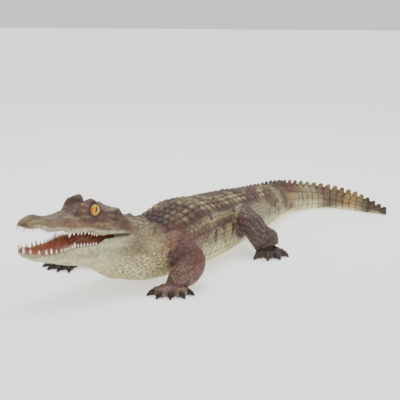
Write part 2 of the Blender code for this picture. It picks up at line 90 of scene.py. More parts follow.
headForm = {
    "length": 0.164 * bodyForm["length"],
    "joint": (-23.13, 3.2, 8.87),
    "heading": -22.7,
    "tilt": (12.1, 0.0),
    "jawTilt": (-2.1, -2.5),
    "width": [(-0.40, 0.16), (-0.22, 0.235), (0.0, 0.262), (0.22, 0.245), (0.40, 0.215), (0.55, 0.188),
              (0.70, 0.160), (0.80, 0.147), (0.86, 0.137), (0.90, 0.120), (0.93, 0.092), (0.955, 0.055),
              (0.968, 0.028)],
    "crown": [(-0.40, -0.06), (-0.22, 0.05), (-0.06, 0.155), (0.02, 0.212), (0.10, 0.244), (0.24, 0.248),
              (0.36, 0.222), (0.46, 0.172), (0.60, 0.116), (0.70, 0.094), (0.80, 0.094), (0.85, 0.088),
              (0.89, 0.072), (0.925, 0.050), (0.955, 0.026), (0.968, 0.010)],
    "lip": [(-0.40, -0.12), (-0.10, -0.02), (0.02, 0.012), (0.14, 0.016), (0.26, 0.008), (0.40, 0.022),
            (0.52, 0.004), (0.64, 0.006), (0.74, -0.010), (0.84, 0.010), (0.91, -0.004), (0.968, -0.012)],
    "roof": [(-0.40, 0.0), (0.0, 0.02), (0.3, 0.05), (0.7, 0.04), (0.88, 0.03), (0.968, 0.006)],
    "snoutTip": (0.974, 0.0, 0.0),
    "jawWidth": [(-0.35, 0.22), (-0.10, 0.262), (0.05, 0.262), (0.25, 0.232), (0.45, 0.200), (0.62, 0.172),
                 (0.76, 0.152), (0.83, 0.135), (0.88, 0.108), (0.915, 0.080), (0.94, 0.048), (0.953, 0.03)],
    "jawLip": [(-0.35, 0.05), (-0.05, 0.010), (0.024, 0.012), (0.12, 0.028), (0.219, 0.026),
               (0.27, -0.001), (0.311, -0.014), (0.46, -0.003), (0.62, -0.022), (0.76, -0.021),
               (0.86, 0.002), (0.953, 0.012)],
    "jawUnder": [(-0.35, -0.455), (-0.15, -0.480), (0.05, -0.450), (0.20, -0.350), (0.30, -0.285),
                 (0.40, -0.245), (0.50, -0.215), (0.66, -0.160), (0.80, -0.112), (0.88, -0.080),
                 (0.925, -0.048), (0.953, -0.018)],
    "floor": [(-0.35, 0.0), (0.05, -0.03), (0.25, -0.075), (0.7, -0.085), (0.88, -0.05), (0.953, -0.01)],
    "chinTip": (0.960, 0.0, -0.003),
    "skullPower": 2.7, "jawPower": 2.4, "gums": 0.86, "softness": 1, "firmness": 2.6,
}
headLength = headForm["length"]
jawJoint = np.array(headForm["joint"]) * percent


def follow(table, places):
    # smooth monotone curve through (place, value) rows: cubic pieces whose slopes are harmonic means
    knots = np.array([row[0] for row in table], float)
    values = np.array([row[1] for row in table], float)
    places = np.clip(np.asarray(places, float), knots[0], knots[-1])
    steps = np.diff(knots)
    slopes = np.diff(values) / steps
    tangents = np.concatenate([slopes[:1], np.zeros(len(knots) - 2), slopes[-1:]])
    for i in range(1, len(knots) - 1):
        if slopes[i - 1] * slopes[i] > 0:
            before = 2 * steps[i] + steps[i - 1]
            after = steps[i] + 2 * steps[i - 1]
            tangents[i] = (before + after) / (before / slopes[i - 1] + after / slopes[i])
    k = np.clip(np.searchsorted(knots, places, side="right") - 1, 0, len(knots) - 2)
    u = (places - knots[k]) / steps[k]
    start = (2 * u**3 - 3 * u**2 + 1) * values[k] + (u**3 - 2 * u**2 + u) * steps[k] * tangents[k]
    end = (3 * u**2 - 2 * u**3) * values[k + 1] + (u**3 - u**2) * steps[k] * tangents[k + 1]
    return start + end


def ramp(low, high, values):
    # 0 below low, 1 above high, an S curve between; works downwards too when high is under low
    t = np.clip((values - low) / (high - low), 0, 1)
    return t * t * (3 - 2 * t)


def hashed(cells, seed):
    # whole numbers to a fixed share between 0 and 1
    n = cells[..., 0] * 374761393 + cells[..., 1] * 668265263 + cells[..., 2] * 1442695041
    n = (n + seed * 974711) & 0xFFFFFFFF
    n = ((n ^ (n >> 13)) * 1274126177) & 0xFFFFFFFF
    return ((n ^ (n >> 16)) & 0xFFFFFF) / 0xFFFFFF


def softNoise(points, size, seed):
    # value noise: shares at the corners of cubes of that size, blended smoothly inside each cube
    q = points / size
    cell = np.floor(q).astype(np.int64)
    f = q - cell
    f = f * f * (3 - 2 * f)
    total = np.zeros(len(points))
    for corner in product((0, 1), repeat=3):
        c = np.array(corner)
        total += hashed(cell + c, seed) * np.where(c, f, 1 - f).prod(-1)
    return total


def roughNoise(points, size, seed):
    return 0.6 * softNoise(points, size, seed) + 0.4 * softNoise(points, size * 0.45, seed + 7)


def scaleCells(u, v, jitter, seed, brick=True):
    # rounded scales: how much further the second nearest of jittered centres is than the nearest
    row = np.floor(v).astype(np.int64)
    nearest = np.full(len(u), 9.0)
    second = np.full(len(u), 9.0)
    tone = np.zeros(len(u))
    for dv, du in product((-1, 0, 1), repeat=2):
        r = row + dv
        shift = 0.5 * (r % 2) if brick else 0.0
        col = np.floor(u - shift).astype(np.int64) + du
        key = np.stack([col, r, np.zeros_like(r)], -1)
        cu = col + shift + 0.5 + jitter * (hashed(key, seed) - 0.5)
        cv = r + 0.5 + jitter * (hashed(key, seed + 1) - 0.5)
        d = np.hypot(u - cu, v - cv)
        closer = d < nearest
        second = np.where(closer, nearest, np.minimum(second, d))
        tone = np.where(closer, hashed(key, seed + 2), tone)
        nearest = np.where(closer, d, nearest)
    return second - nearest, tone


# The spine is the sum of short steps along the heading; the origin is under the middle of the trunk.
spineStations = np.linspace(0, 102, 2041)
spineTurn = np.radians(follow(bodyForm["heading"], spineStations))
spineStep = (spineStations[1] - spineStations[0]) * percent
spineX = np.concatenate([[0], np.cumsum((np.cos(spineTurn[1:]) + np.cos(spineTurn[:-1])) / 2)]) * spineStep
spineY = np.concatenate([[0], np.cumsum((np.sin(spineTurn[1:]) + np.sin(spineTurn[:-1])) / 2)]) * spineStep
spineX -= np.interp(bodyForm["originStation"], spineStations, spineX)
spineY -= np.interp(bodyForm["originStation"], spineStations, spineY)


def onSpine(stations):
    return [np.interp(stations, spineStations, values) for values in (spineX, spineY, spineTurn)]


def sectionOf(stations):
    s = {name: follow(bodyForm[name], stations) for name in ("roundAbove", "roundBelow", "level")}
    s.update({name: follow(bodyForm[name], stations) * percent for name in ("halfWidth", "back", "belly")})
    s["middle"] = s["belly"] + (s["back"] - s["belly"]) * s["level"]
    return s


def squared(value, power):
    # cosine or sine on an ellipse squared off by a power
    return np.sign(value) * np.abs(value) ** (2 / power)


def fullTurn(count):
    return np.linspace(0, 2 * math.pi, count, endpoint=False)


def wallFaces(rows, sides, loop=False):
    # two triangles to each patch between neighbouring rows; a loop joins the last row to the first
    i, j = np.meshgrid(np.arange(rows if loop else rows - 1), np.arange(sides), indexing="ij")
    near, far, on = i * sides, (i + 1) % rows * sides, (j + 1) % sides
    a, b, c, d = near + j, far + j, far + on, near + on
    return np.concatenate([np.stack([a, b, c], -1).reshape(-1, 3), np.stack([a, c, d], -1).reshape(-1, 3)])


def ringSolid(rings, start=None, end=None):
    # closed skin over rings (rows of points), with a fan at each end to the ring's middle or to a given tip
    count, sides = rings.shape[:2]
    first = rings[0].mean(0) if start is None else start
    last = rings[-1].mean(0) if end is None else end
    points = np.concatenate([rings.reshape(-1, 3), [first, last]])
    j = np.arange(sides)
    k = (j + 1) % sides
    top = (count - 1) * sides
    caps = np.concatenate([
        np.stack([np.full(sides, count * sides), j, k], -1),
        np.stack([np.full(sides, count * sides + 1), top + k, top + j], -1),
    ])
    return outward(points, np.concatenate([wallFaces(count, sides), caps]))


def outward(points, triangles):
    # a closed shell whose signed volume is negative has all its faces turned round
    p, q, r = (points[triangles[:, n]] for n in range(3))
    volume = np.einsum("ij,ij->i", p, np.cross(q, r)).sum()
    return points, triangles if volume > 0 else triangles[:, ::-1]


def joined(solids):
    points, triangles, base = [], [], 0
    for p, t in solids:
        points.append(p)
        triangles.append(t + base)
        base += len(p)
    return np.concatenate(points), np.concatenate(triangles)


def meshObject(name, points, triangles, smooth=True):
    mesh = bpy.data.meshes.new(name)
    mesh.vertices.add(len(points))
    mesh.vertices.foreach_set("co", np.ascontiguousarray(points, np.float32).ravel())
    mesh.loops.add(triangles.size)
    mesh.loops.foreach_set("vertex_index", np.ascontiguousarray(triangles, np.int32).ravel())
    mesh.polygons.add(len(triangles))
    mesh.polygons.foreach_set("loop_start", np.arange(0, triangles.size, 3, dtype=np.int32))
    mesh.update(calc_edges=True)
    mesh.validate()
    if smooth:
        mesh.shade_smooth()
    made = bpy.data.objects.new(name, mesh)
    bpy.context.scene.collection.objects.link(made)
    return made


# Fineness: rows along each form and points round it.
detail = {
    "body": (560, 96), "lobe": (12, 16), "skull": (150, 72), "roof": 30, "jaw": (130, 64), "floor": 40,
    "lid": (64, 14), "limb": (56, 40), "pad": 40, "toe": (34, 24), "claw": (16, 14), "tooth": (10, 10),
    "eye": (96, 128),
}


# Neck, trunk and tail: sections are ellipses squared off by a power, higher below for the flat belly.
def bodySolid():
    rows, sides = detail["body"]
    stations = np.linspace(bodyForm["first"], bodyForm["last"], rows)
    x, y, turn = (v[:, None] for v in onSpine(stations))
    s = {name: v[:, None] for name, v in sectionOf(stations).items()}
    angle = fullTurn(sides)[None]
    c, sn = np.cos(angle), np.sin(angle)
    power = np.where(sn > 0, s["roundAbove"], s["roundBelow"])
    across = s["halfWidth"] * squared(c, power)
    high = np.abs(sn) ** (2 / power) * np.where(sn > 0, s["back"] - s["middle"], s["belly"] - s["middle"])
    rings = np.stack([x - np.sin(turn) * across, y + np.cos(turn) * across, s["middle"] + high], -1)
    return ringSolid(rings)


# Cross rows of scales lie a little closer on the neck and towards the tail's tip than over the hips.
def rowBorders():
    borders = [bodyForm["firstRow"]]
    while borders[-1] < bodyForm["last"]:
        pitch = bodyForm["pitch"] / percent * float(follow(bodyForm["pitchShare"], borders[-1]))
        borders.append(borders[-1] + pitch)
    return np.array(borders)


borders = rowBorders()

# Crest of the tail: upright lobes, one to each row of scales, double from the hips and single past the bend.
crest = {
    "from": 52.0, "single": 76.0,
    "apart": [(50, 0.42), (62, 0.34), (74, 0.12), (102, 0.0)],
    "height": [(50, 0.22), (62, 0.40), (66, 0.65), (72, 1.35), (78, 1.55), (84, 1.40), (90, 1.48), (94, 1.58),
               (97, 1.20), (102, 0.45)],
    "thick": [(50, 0.0046), (74, 0.0042), (102, 0.0026)],
    "root": 0.006, "lean": 0.20, "fill": 0.50,
}


def crestLobe(station, side, long):
    # rings of a lens stacked upwards: the lens shortens to a round top and leans back towards the tail tip
    s = sectionOf(station)
    x, y, turn = onSpine(station)
    half = float(follow(crest["apart"], station)) * float(s["halfWidth"]) * side
    height = float(follow(crest["height"], station)) * percent
    share = min(abs(half) / float(s["halfWidth"]), 0.95)
    arch = (1 - share ** s["roundAbove"]) ** (1 / s["roundAbove"])
    foot = float(s["middle"] + (s["back"] - s["middle"]) * arch)
    rows, sides = detail["lobe"]
    rise = np.linspace(0, 1, rows)[:, None]
    turns = fullTurn(sides)[None]
    taper = (1 - rise**4.2) ** 0.5 + 0.02
    along = crest["fill"] * long * taper * np.cos(turns) + crest["lean"] * height * rise**1.5
    thick = float(follow(crest["thick"], station)) * (1 - 0.30 * rise) * np.minimum(taper * 1.6, 1)
    across = half + thick * np.sin(turns)
    up = foot - crest["root"] + (height + crest["root"]) * rise + 0 * turns
    ahead, aside = np.cos(turn), np.sin(turn)
    rings = np.stack([x + ahead * along - aside * across, y + aside * along + ahead * across, up], -1)
    return ringSolid(rings)


def crestSolids():
    made = []
    for start, stop in zip(borders[:-1], borders[1:]):
        station = 0.5 * (start + stop)
        if station > crest["from"] and station < bodyForm["last"]:
            for side in (1, -1) if station < crest["single"] else (0,):
                made.append(crestLobe(station, side, (stop - start) * percent))
    return made


# Head: forward, left and up axes of a jaw, from how far it is thrown up and rolled over, in degrees.
def headAxes(pose):
    turn, tilt, roll = (math.radians(v) for v in (headForm["heading"], *pose))
    forward = np.array([-math.cos(turn) * math.cos(tilt), -math.sin(turn) * math.cos(tilt), math.sin(tilt)])
    level = np.array([math.sin(turn), -math.cos(turn), 0.0])
    left = level * math.cos(roll) + np.cross(forward, level) * math.sin(roll)
    return np.stack([forward, left, np.cross(forward, left)])


def fromHead(points, tilt):
    return jawJoint + np.asarray(points, float) @ headAxes(tilt) * headLength


def toHead(points, tilt):
    return (points - jawJoint) @ headAxes(tilt).T / headLength


# Soft pushes: centre, reach and shift, in shares of the head's length, on both sides of the midline.
headPushes = {
    "underEye": ((0.310, 0.215, 0.140), (0.110, 0.050, 0.05), (0.000, -0.022, 0.0)),
    "betweenEyes": ((0.300, 0.000, 0.245), (0.140, 0.055, 0.10), (0.000, 0.000, -0.050)),
    "tableCorner": ((0.105, 0.165, 0.225), (0.060, 0.055, 0.07), (-0.012, 0.012, 0.030)),
    "nostrilMound": ((0.825, 0.045, 0.100), (0.055, 0.045, 0.06), (0.000, 0.000, 0.014)),
    "cheekHollow": ((0.160, 0.240, 0.150), (0.110, 0.050, 0.05), (0.000, -0.020, 0.0)),
    "canthus": ((0.560, 0.100, 0.125), (0.100, 0.030, 0.05), (0.000, 0.004, 0.012)),
    "snoutBulge": ((0.770, 0.150, 0.040), (0.050, 0.050, 0.06), (0.000, 0.012, 0.0)),
    "lipSwell": ((0.560, 0.190, 0.030), (0.060, 0.050, 0.05), (0.000, 0.010, 0.0)),
    "lipBack": ((0.300, 0.240, 0.030), (0.080, 0.050, 0.04), (0.000, 0.008, 0.0)),
}


# Firm pushes are level on top with steep sides: the knob over each eye.
browPushes = {
    "knob": ((0.382, 0.126, 0.215), (0.092, 0.066, 0.16), (0.006, 0.010, 0.098)),
    "knobFront": ((0.468, 0.118, 0.190), (0.036, 0.056, 0.09), (0.008, 0.004, 0.018)),
}


def pushed(points, pushes, firmness):
    moved = points.copy()
    for centre, reach, shift in pushes.values():
        for side in (1, -1) if centre[1] else (1,):
            flip = np.array([1, side, 1])
            distance = (((points - np.array(centre) * flip) / np.array(reach)) ** 2).sum(-1)
            moved += np.exp(-(distance**firmness))[..., None] * np.array(shift) * flip
    return moved


def skullSolid():
    # squared arch from lip to lip over the crown, closed below by a hollow roof between the gums
    rows, sides = detail["skull"]
    place = np.linspace(-0.40, 0.968, rows)[:, None]
    half, crown, lip = (follow(headForm[n], place) for n in ("width", "crown", "lip"))
    roof = lip + follow(headForm["roof"], place)
    angle = np.radians(np.linspace(-14, 194, sides))[None]
    c, s = (squared(v, headForm["skullPower"]) for v in (np.cos(angle), np.sin(angle)))
    arch = np.stack([place + 0 * c, half * c, lip + np.maximum(s, -0.04) * (crown - lip)], -1)
    share = np.linspace(-headForm["gums"], headForm["gums"], detail["roof"])[None]
    ceiling = np.stack([place + 0 * share, share * half, lip + (roof - lip) * (1 - np.abs(share) ** 4)], -1)
    rings = pushed(np.concatenate([arch, ceiling], 1), headPushes, headForm["softness"])
    rings = pushed(rings, browPushes, headForm["firmness"])
    rings, tip = (fromHead(v, headForm["tilt"]) for v in (rings, headForm["snoutTip"]))
    return ringSolid(rings, end=tip)


def jawSolid():
    # round keel from lip to lip below, closed above by the floor of the mouth with a broad low tongue
    rows, sides = detail["jaw"]
    place = np.linspace(-0.35, 0.953, rows)[:, None]
    half, lip, under = (follow(headForm[n], place) for n in ("jawWidth", "jawLip", "jawUnder"))
    floor = lip + follow(headForm["floor"], place)
    angle = np.radians(np.linspace(8, -188, sides))[None]
    c, s = (squared(v, headForm["jawPower"]) for v in (np.cos(angle), np.sin(angle)))
    keel = np.stack([place + 0 * c, half * c, lip + np.minimum(s, 0.04) * (lip - under)], -1)
    share = np.linspace(-headForm["gums"], headForm["gums"], detail["floor"])[None]
    tongue = 0.034 * ramp(0.80, 0.66, place) * np.exp(-(share / 0.46) ** 4)
    level = lip + (floor - lip) * (1 - np.abs(share) ** 4) + tongue
    rings = np.concatenate([keel, np.stack([place + 0 * share, share * half, level], -1)], 1)
    rings, tip = (fromHead(v, headForm["jawTilt"]) for v in (rings, headForm["chinTip"]))
    return ringSolid(rings, end=tip)


# Eyes: balls that look a little forward of straight out, with a rolled lid round each.
eyeForm = {"diameter": 0.027, "forward": 0.30, "up": 0.14, "lidThick": 0.0034, "lidRing": 0.0132}
eyes = {}
for nodeName, side in (("left_eye", 1), ("right_eye", -1)):
    low, high = (np.array([float(v) for v in corner]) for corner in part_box(nodeName))
    look = headAxes(headForm["tilt"]).T @ np.array([eyeForm["forward"], side, eyeForm["up"]])
    look /= np.linalg.norm(look)
    upright = headAxes(headForm["tilt"])[2]
    upright = upright - look * upright.dot(look)
    upright /= np.linalg.norm(upright)
    eyes[nodeName] = {"centre": (low + high) / 2, "radius": eyeForm["diameter"] / 2,
                      "look": look, "up": upright, "side": np.cross(upright, look)}


def lidSolid(eye):
    # ring of round section about the eye's line of sight, drawn out a little towards the corners
    turn, tube = fullTurn(detail["lid"][0])[:, None], fullTurn(detail["lid"][1])[None]
    ring = eyeForm["lidRing"] + eyeForm["lidThick"] * np.cos(tube)
    wide = ring * np.cos(turn) * 1.10
    tall = ring * np.sin(turn) * 0.94
    out = eyeForm["lidThick"] * np.sin(tube) + 0.0010 + 0 * turn
    points = (eye["centre"] + wide[..., None] * eye["side"] + tall[..., None] * eye["up"]
              + out[..., None] * eye["look"])
    return outward(points.reshape(-1, 3), wallFaces(*points.shape[:2], loop=True))


# Limbs: joints with half thickness at each, toes as direction in degrees and length, all in hundredths.
limbs = {
    "foreLeft": {
        "stout": 1.08,
        "joints": [(-15.6, -2.0, 6.2, 3.2), (-16.7, -5.2, 5.0, 2.6), (-17.1, -7.3, 3.8, 2.3),
                   (-18.9, -7.6, 2.8, 2.1), (-20.6, -7.1, 2.0, 1.65), (-21.8, -6.6, 1.0, 1.0)],
        "toes": [(-223, 4.0), (-190, 3.6), (-152, 3.2), (-112, 3.5), (-78, 3.8)],
    },
    "foreRight": {
        "stout": 1.08,
        "joints": [(-15.0, 3.4, 5.7, 2.8), (-14.4, 6.8, 5.0, 2.6), (-13.6, 10.0, 3.9, 2.15),
                   (-15.3, 12.4, 2.9, 1.8), (-17.1, 14.6, 2.0, 1.6), (-18.2, 15.7, 0.9, 0.9)],
        "toes": [(216, 4.3), (187, 4.15), (158, 4.4), (130, 4.7), (98, 3.4)],
    },
    "hindLeft": {
        "stout": 1.22,
        "joints": [(6.4, -1.8, 5.2, 3.0), (4.7, -5.2, 5.6, 2.75), (3.1, -7.8, 5.6, 2.05),
                   (3.2, -9.2, 4.1, 2.0), (4.3, -10.3, 2.5, 2.35), (4.3, -11.1, 1.3, 1.7)],
        "toes": [(-194, 4.5), (-160, 4.2), (-126, 3.9), (-86, 3.7)],
    },
    "hindRight": {
        "stout": 1.22,
        "joints": [(8.0, 1.8, 5.2, 3.1), (7.2, 5.2, 5.5, 2.8), (6.0, 7.8, 5.5, 2.1),
                   (6.8, 9.3, 4.0, 2.0), (8.8, 10.5, 2.5, 2.3), (9.0, 11.3, 1.3, 1.6)],
        "toes": [(198, 4.3), (164, 4.15), (130, 4.0), (92, 3.7)],
    },
}
footForm = {"palm": 1.55 * percent, "sole": 0.012, "clawShare": 0.32}


def limbPath(joints, count):
    # smooth path through the joints, with its half thickness as the fourth column
    knots = np.arange(len(joints), dtype=float)
    places = np.linspace(0, knots[-1], count)
    columns = [follow(list(zip(knots, values)), places) for values in zip(*joints)]
    return np.stack(columns, -1) * percent


def limbSolid(joints):
    rows, sides = detail["limb"]
    path = limbPath(joints, rows)
    before = path[np.maximum(np.arange(rows) - 10, 0), :3]
    after = path[np.minimum(np.arange(rows) + 10, rows - 1), :3]
    along = after - before
    along /= np.linalg.norm(along, axis=1)[:, None]
    side = np.cross(along, [0.0, 0.0, 1.0])
    side /= np.linalg.norm(side, axis=1)[:, None]
    up = np.cross(side, along)
    turn = fullTurn(sides)[None, :, None]
    radius = path[:, None, 3:]
    rings = path[:, None, :3] + radius * (np.cos(turn) * side[:, None] + np.sin(turn) * up[:, None])
    rings[..., 2] = np.maximum(rings[..., 2], 0.0012)
    return ringSolid(rings)


def padSolid(palm):
    share = np.array([0.90, 0.98, 1.0, 0.97, 0.88, 0.74, 0.56, 0.34, 0.12])[:, None]
    high = np.array([0.0, 0.12, 0.45, 0.85, 1.2, 1.5, 1.75, 1.9, 1.95])[:, None]
    turn = fullTurn(detail["pad"])[None]
    reach = footForm["palm"] * share
    rings = np.stack([reach * np.cos(turn), reach * np.sin(turn), high * footForm["sole"] + 0 * turn], -1)
    return ringSolid(palm + rings)


def toeFrame(palm, degrees):
    direction = np.array([math.cos(math.radians(degrees)), math.sin(math.radians(degrees)), 0.0])
    return direction, np.array([-direction[1], direction[0], 0.0])


def toeSolid(palm, degrees, long, stout):
    # fleshy toe: half width and height along it, with two knuckles, flat below and round at its end
    direction, side = toeFrame(palm, degrees)
    rows, sides = detail["toe"]
    place = np.linspace(0.08, 1 - footForm["clawShare"] + 0.05, rows)[:, None]
    end = (place - place[0]) / (place[-1] - place[0])
    knuckle = 0.07 * np.exp(-((end - 0.42) / 0.10) ** 2) + 0.07 * np.exp(-((end - 0.80) / 0.09) ** 2)
    tipRound = np.sqrt(np.clip(1 - np.clip((end - 0.86) / 0.14, 0, 1) ** 2, 0.02, 1))
    half = (0.80 - 0.16 * end + knuckle) * stout * percent * tipRound
    high = (1.65 - 0.56 * end + 1.6 * knuckle) * percent * tipRound
    turn = fullTurn(sides)[None]
    lift = np.clip(0.5 + 0.56 * np.sin(turn), 0, 1)
    rings = (palm + direction * (place * long)[..., None] + side * (half * np.cos(turn))[..., None]
             + np.array([0, 0, 1.0]) * (0.0006 + high * lift)[..., None])
    return ringSolid(rings)


def clawSolid(palm, degrees, long, stout):
    # horn: round section tapering along a downward bow to a blunt point
    direction, side = toeFrame(palm, degrees)
    rows, sides = detail["claw"]
    rise = np.linspace(0, 1, rows)[:, None]
    place = (1 - footForm["clawShare"]) + footForm["clawShare"] * (0.99 * rise - 0.02)
    radius = (0.40 * (1 - rise**2.2) + 0.085) * stout * percent
    middle = (0.50 * (1 - rise**1.8) + 0.13) * percent
    turn = fullTurn(sides)[None]
    rings = (palm + direction * (place * long)[..., None] + side * (0.86 * radius * np.cos(turn))[..., None]
             + np.array([0, 0, 1.0]) * np.maximum(middle + radius * np.sin(turn), 0.0008)[..., None])
    return ringSolid(rings)


def toesOf(limb):
    palm = np.array([limb["joints"][-1][0] * percent, limb["joints"][-1][1] * percent, 0.0])
    return [(palm, degrees, long * percent, limb["stout"]) for degrees, long in limb["toes"]]


# Skin: all solids joined, remeshed into one shell, eased where limbs and head meet the body, then carved.
skinForm = {"voxel": 0.0020, "easing": 7, "triangles": 192000}


def rawSkin():
    solids = [bodySolid(), skullSolid(), jawSolid()] + crestSolids()
    solids += [lidSolid(eye) for eye in eyes.values()]
    for limb in limbs.values():
        solids.append(limbSolid(limb["joints"]))
        solids.append(padSolid(toesOf(limb)[0][0]))
        solids += [toeSolid(*toe) for toe in toesOf(limb)]
    shape = meshObject("rawSkin", *joined(solids))
    remesh = shape.modifiers.new("remesh", "REMESH")
    remesh.mode = "VOXEL"
    remesh.voxel_size = skinForm["voxel"]
    return bakedArrays(shape)


def bakedArrays(shape):
    # the shape with its modifiers, as points and triangles; the object itself is removed
    baked = bpy.data.meshes.new_from_object(shape.evaluated_get(bpy.context.evaluated_depsgraph_get()))
    points = np.empty(len(baked.vertices) * 3, np.float32)
    baked.vertices.foreach_get("co", points)
    baked.calc_loop_triangles()
    triangles = np.empty(len(baked.loop_triangles) * 3, np.int32)
    baked.loop_triangles.foreach_get("vertices", triangles)
    bpy.data.meshes.remove(baked)
    bpy.data.objects.remove(shape)
    return points.reshape(-1, 3).astype(float), triangles.reshape(-1, 3)


def withinBox(points):
    # the finished figure keeps inside the solids' own box
    return np.clip(points, np.array(cadBox[0]) + 1e-5, np.array(cadBox[1]) - 1e-5)


def normalsOf(points, triangles):
    # each point's normal is the sum of its triangles' normals, weighted by area
    p, q, r = (points[triangles[:, n]] for n in range(3))
    face = np.cross(q - p, r - p)
    total = np.stack([
        sum(np.bincount(triangles[:, n], face[:, axis], len(points)) for n in range(3)) for axis in range(3)
    ], -1)
    return total / np.maximum(np.linalg.norm(total, axis=1), 1e-12)[:, None]


def eased(points, triangles, weights, rounds):
    # each point moves towards the mean of its neighbours by its weight, a few times over
    a = np.concatenate([triangles[:, 0], triangles[:, 1], triangles[:, 2]])
    b = np.concatenate([triangles[:, 1], triangles[:, 2], triangles[:, 0]])
    degree = np.maximum(np.bincount(a, minlength=len(points)), 1)
    for _ in range(rounds):
        mean = np.stack([np.bincount(a, points[b, k], len(points)) for k in range(3)], -1) / degree[:, None]
        points = points + weights[:, None] * (mean - points)
    return points


def bodyPlace(points):
    # nearest station by a coarse look along the spine, then by steps along its tangent
    coarse = np.linspace(10, 102, 93)
    cx, cy, _ = onSpine(coarse)
    station = np.empty(len(points))
    for k in range(0, len(points), 50000):
        part = points[k:k + 50000]
        gap = (part[:, :1] - cx) ** 2 + (part[:, 1:2] - cy) ** 2
        station[k:k + 50000] = coarse[gap.argmin(1)]
    for _ in range(4):
        x, y, turn = onSpine(station)
        step = (points[:, 0] - x) * np.cos(turn) + (points[:, 1] - y) * np.sin(turn)
        station = np.clip(station + step / percent, 10, 102)
    x, y, turn = onSpine(station)
    across = -(points[:, 0] - x) * np.sin(turn) + (points[:, 1] - y) * np.cos(turn)
    return station, across


def limbPlace(points, joints):
    # nearest point of the limb's path: how far outside its thickness, how far along it, and the turn round it
    path = limbPath(joints, 48)
    gone = np.concatenate([[0], np.cumsum(np.linalg.norm(np.diff(path[:, :3], axis=0), axis=1))])
    outside = np.full(len(points), 1.0)
    along = np.zeros(len(points))
    turn = np.zeros(len(points))
    low, high = path[:, :3].min(0) - 0.08, path[:, :3].max(0) + 0.08
    near = np.flatnonzero(((points > low) & (points < high)).all(1))
    gap = np.linalg.norm(points[near, None] - path[None, :, :3], axis=-1) - path[None, :, 3]
    best = gap.argmin(1)
    outside[near] = gap.min(1)
    axis = np.gradient(path[:, :3], axis=0)
    axis /= np.linalg.norm(axis, axis=1)[:, None]
    offset = points[near] - path[best, :3]
    along[near] = gone[best] + np.einsum("ij,ij->i", offset, axis[best])
    side = np.cross(axis[best], [0.0, 0.0, 1.0])
    turn[near] = np.arctan2(offset[:, 2], np.einsum("ij,ij->i", offset, side))
    return outside, along, turn


def skinPlaces(points):
    # every coordinate that the carving and the paint read
    at = {"point": points}
    at["station"], at["across"] = bodyPlace(points)
    s = sectionOf(at["station"])
    at.update(s)
    z = points[:, 2]
    tall = np.where(z > s["middle"], s["back"] - s["middle"], s["middle"] - s["belly"])
    power = np.where(z > s["middle"], s["roundAbove"], s["roundBelow"])
    reach = (np.abs(at["across"]) / s["halfWidth"]) ** power + (np.abs(z - s["middle"]) / tall) ** power
    at["bodyOutside"] = (reach ** (1 / power) - 1) * np.minimum(s["halfWidth"], tall)
    at["share"] = np.abs(at["across"]) / s["halfWidth"]
    at["angle"] = np.arctan2((z - s["middle"]) / tall, at["share"])
    at["height"] = (z - s["belly"]) / (s["back"] - s["belly"])
    at["upper"] = toHead(points, headForm["tilt"])
    at["lower"] = toHead(points, headForm["jawTilt"])
    at["jawSide"] = ramp(0.0, -0.012, at["lower"][:, 2] - 0.5 * follow(headForm["jawLip"], at["lower"][:, 0])
                         - 0.25 * np.maximum(at["lower"][:, 0], 0) - 0.01)
    at["head"] = ramp(-0.16, 0.06, at["upper"][:, 0] + 0.65 * np.clip(at["upper"][:, 2], -0.5, 0.3))
    best = np.full(len(points), 1.0)
    at["limbAlong"] = np.zeros(len(points))
    at["limbTurn"] = np.zeros(len(points))
    at["fore"] = np.zeros(len(points))
    for name, limb in limbs.items():
        outside, along, turn = limbPlace(points, limb["joints"])
        palm = toesOf(limb)[0][0]
        foot = np.hypot(points[:, 0] - palm[0], points[:, 1] - palm[1]) + 0.5 * z
        outside = np.where((foot < 0.085) & (at["bodyOutside"] > 0.012), np.minimum(outside, 0.0), outside)
        closer = outside < best
        best = np.where(closer, outside, best)
        at["limbAlong"] = np.where(closer, along, at["limbAlong"])
        at["limbTurn"] = np.where(closer, turn, at["limbTurn"])
        at["fore"] = np.where(closer, 1.0 if name.startswith("fore") else 0.0, at["fore"])
    at["limbOutside"] = best
    at["limb"] = ramp(-0.012, 0.002, at["bodyOutside"] - best) * (1 - ramp(0.02, 0.05, best)) \
        * (1 - ramp(0.20, 0.38, at["angle"]) * ramp(0.014, 0.006, at["bodyOutside"]))
    at["toe"] = np.zeros(len(points))
    at["toeAlong"] = np.zeros(len(points))
    for limb in limbs.values():
        for palm, degrees, long, _ in toesOf(limb):
            direction, side = toeFrame(palm, degrees)
            gone, off = (points - palm) @ direction, np.abs((points - palm) @ side)
            on = ramp(0.013, 0.008, off) * ramp(0.012, 0.022, gone) * (gone < long * 1.1)
            on = on * ramp(0.035, 0.028, z)
            at["toeAlong"] = np.where(on > at["toe"], gone, at["toeAlong"])
            at["toe"] = np.maximum(at["toe"], on)
    return at


def bump(value, centre, width):
    return np.exp(-((value - centre) / width) ** 2)


def stroke(points, ends, width):
    # 1 on a straight stroke between two head places, falling off over its width
    a, b = (np.array(e) for e in ends)
    t = np.clip((points - a) @ (b - a) / (b - a).dot(b - a), 0, 1)
    gap = np.linalg.norm(points - a - t[:, None] * (b - a), axis=1)
    return np.exp(-((gap / width) ** 2))


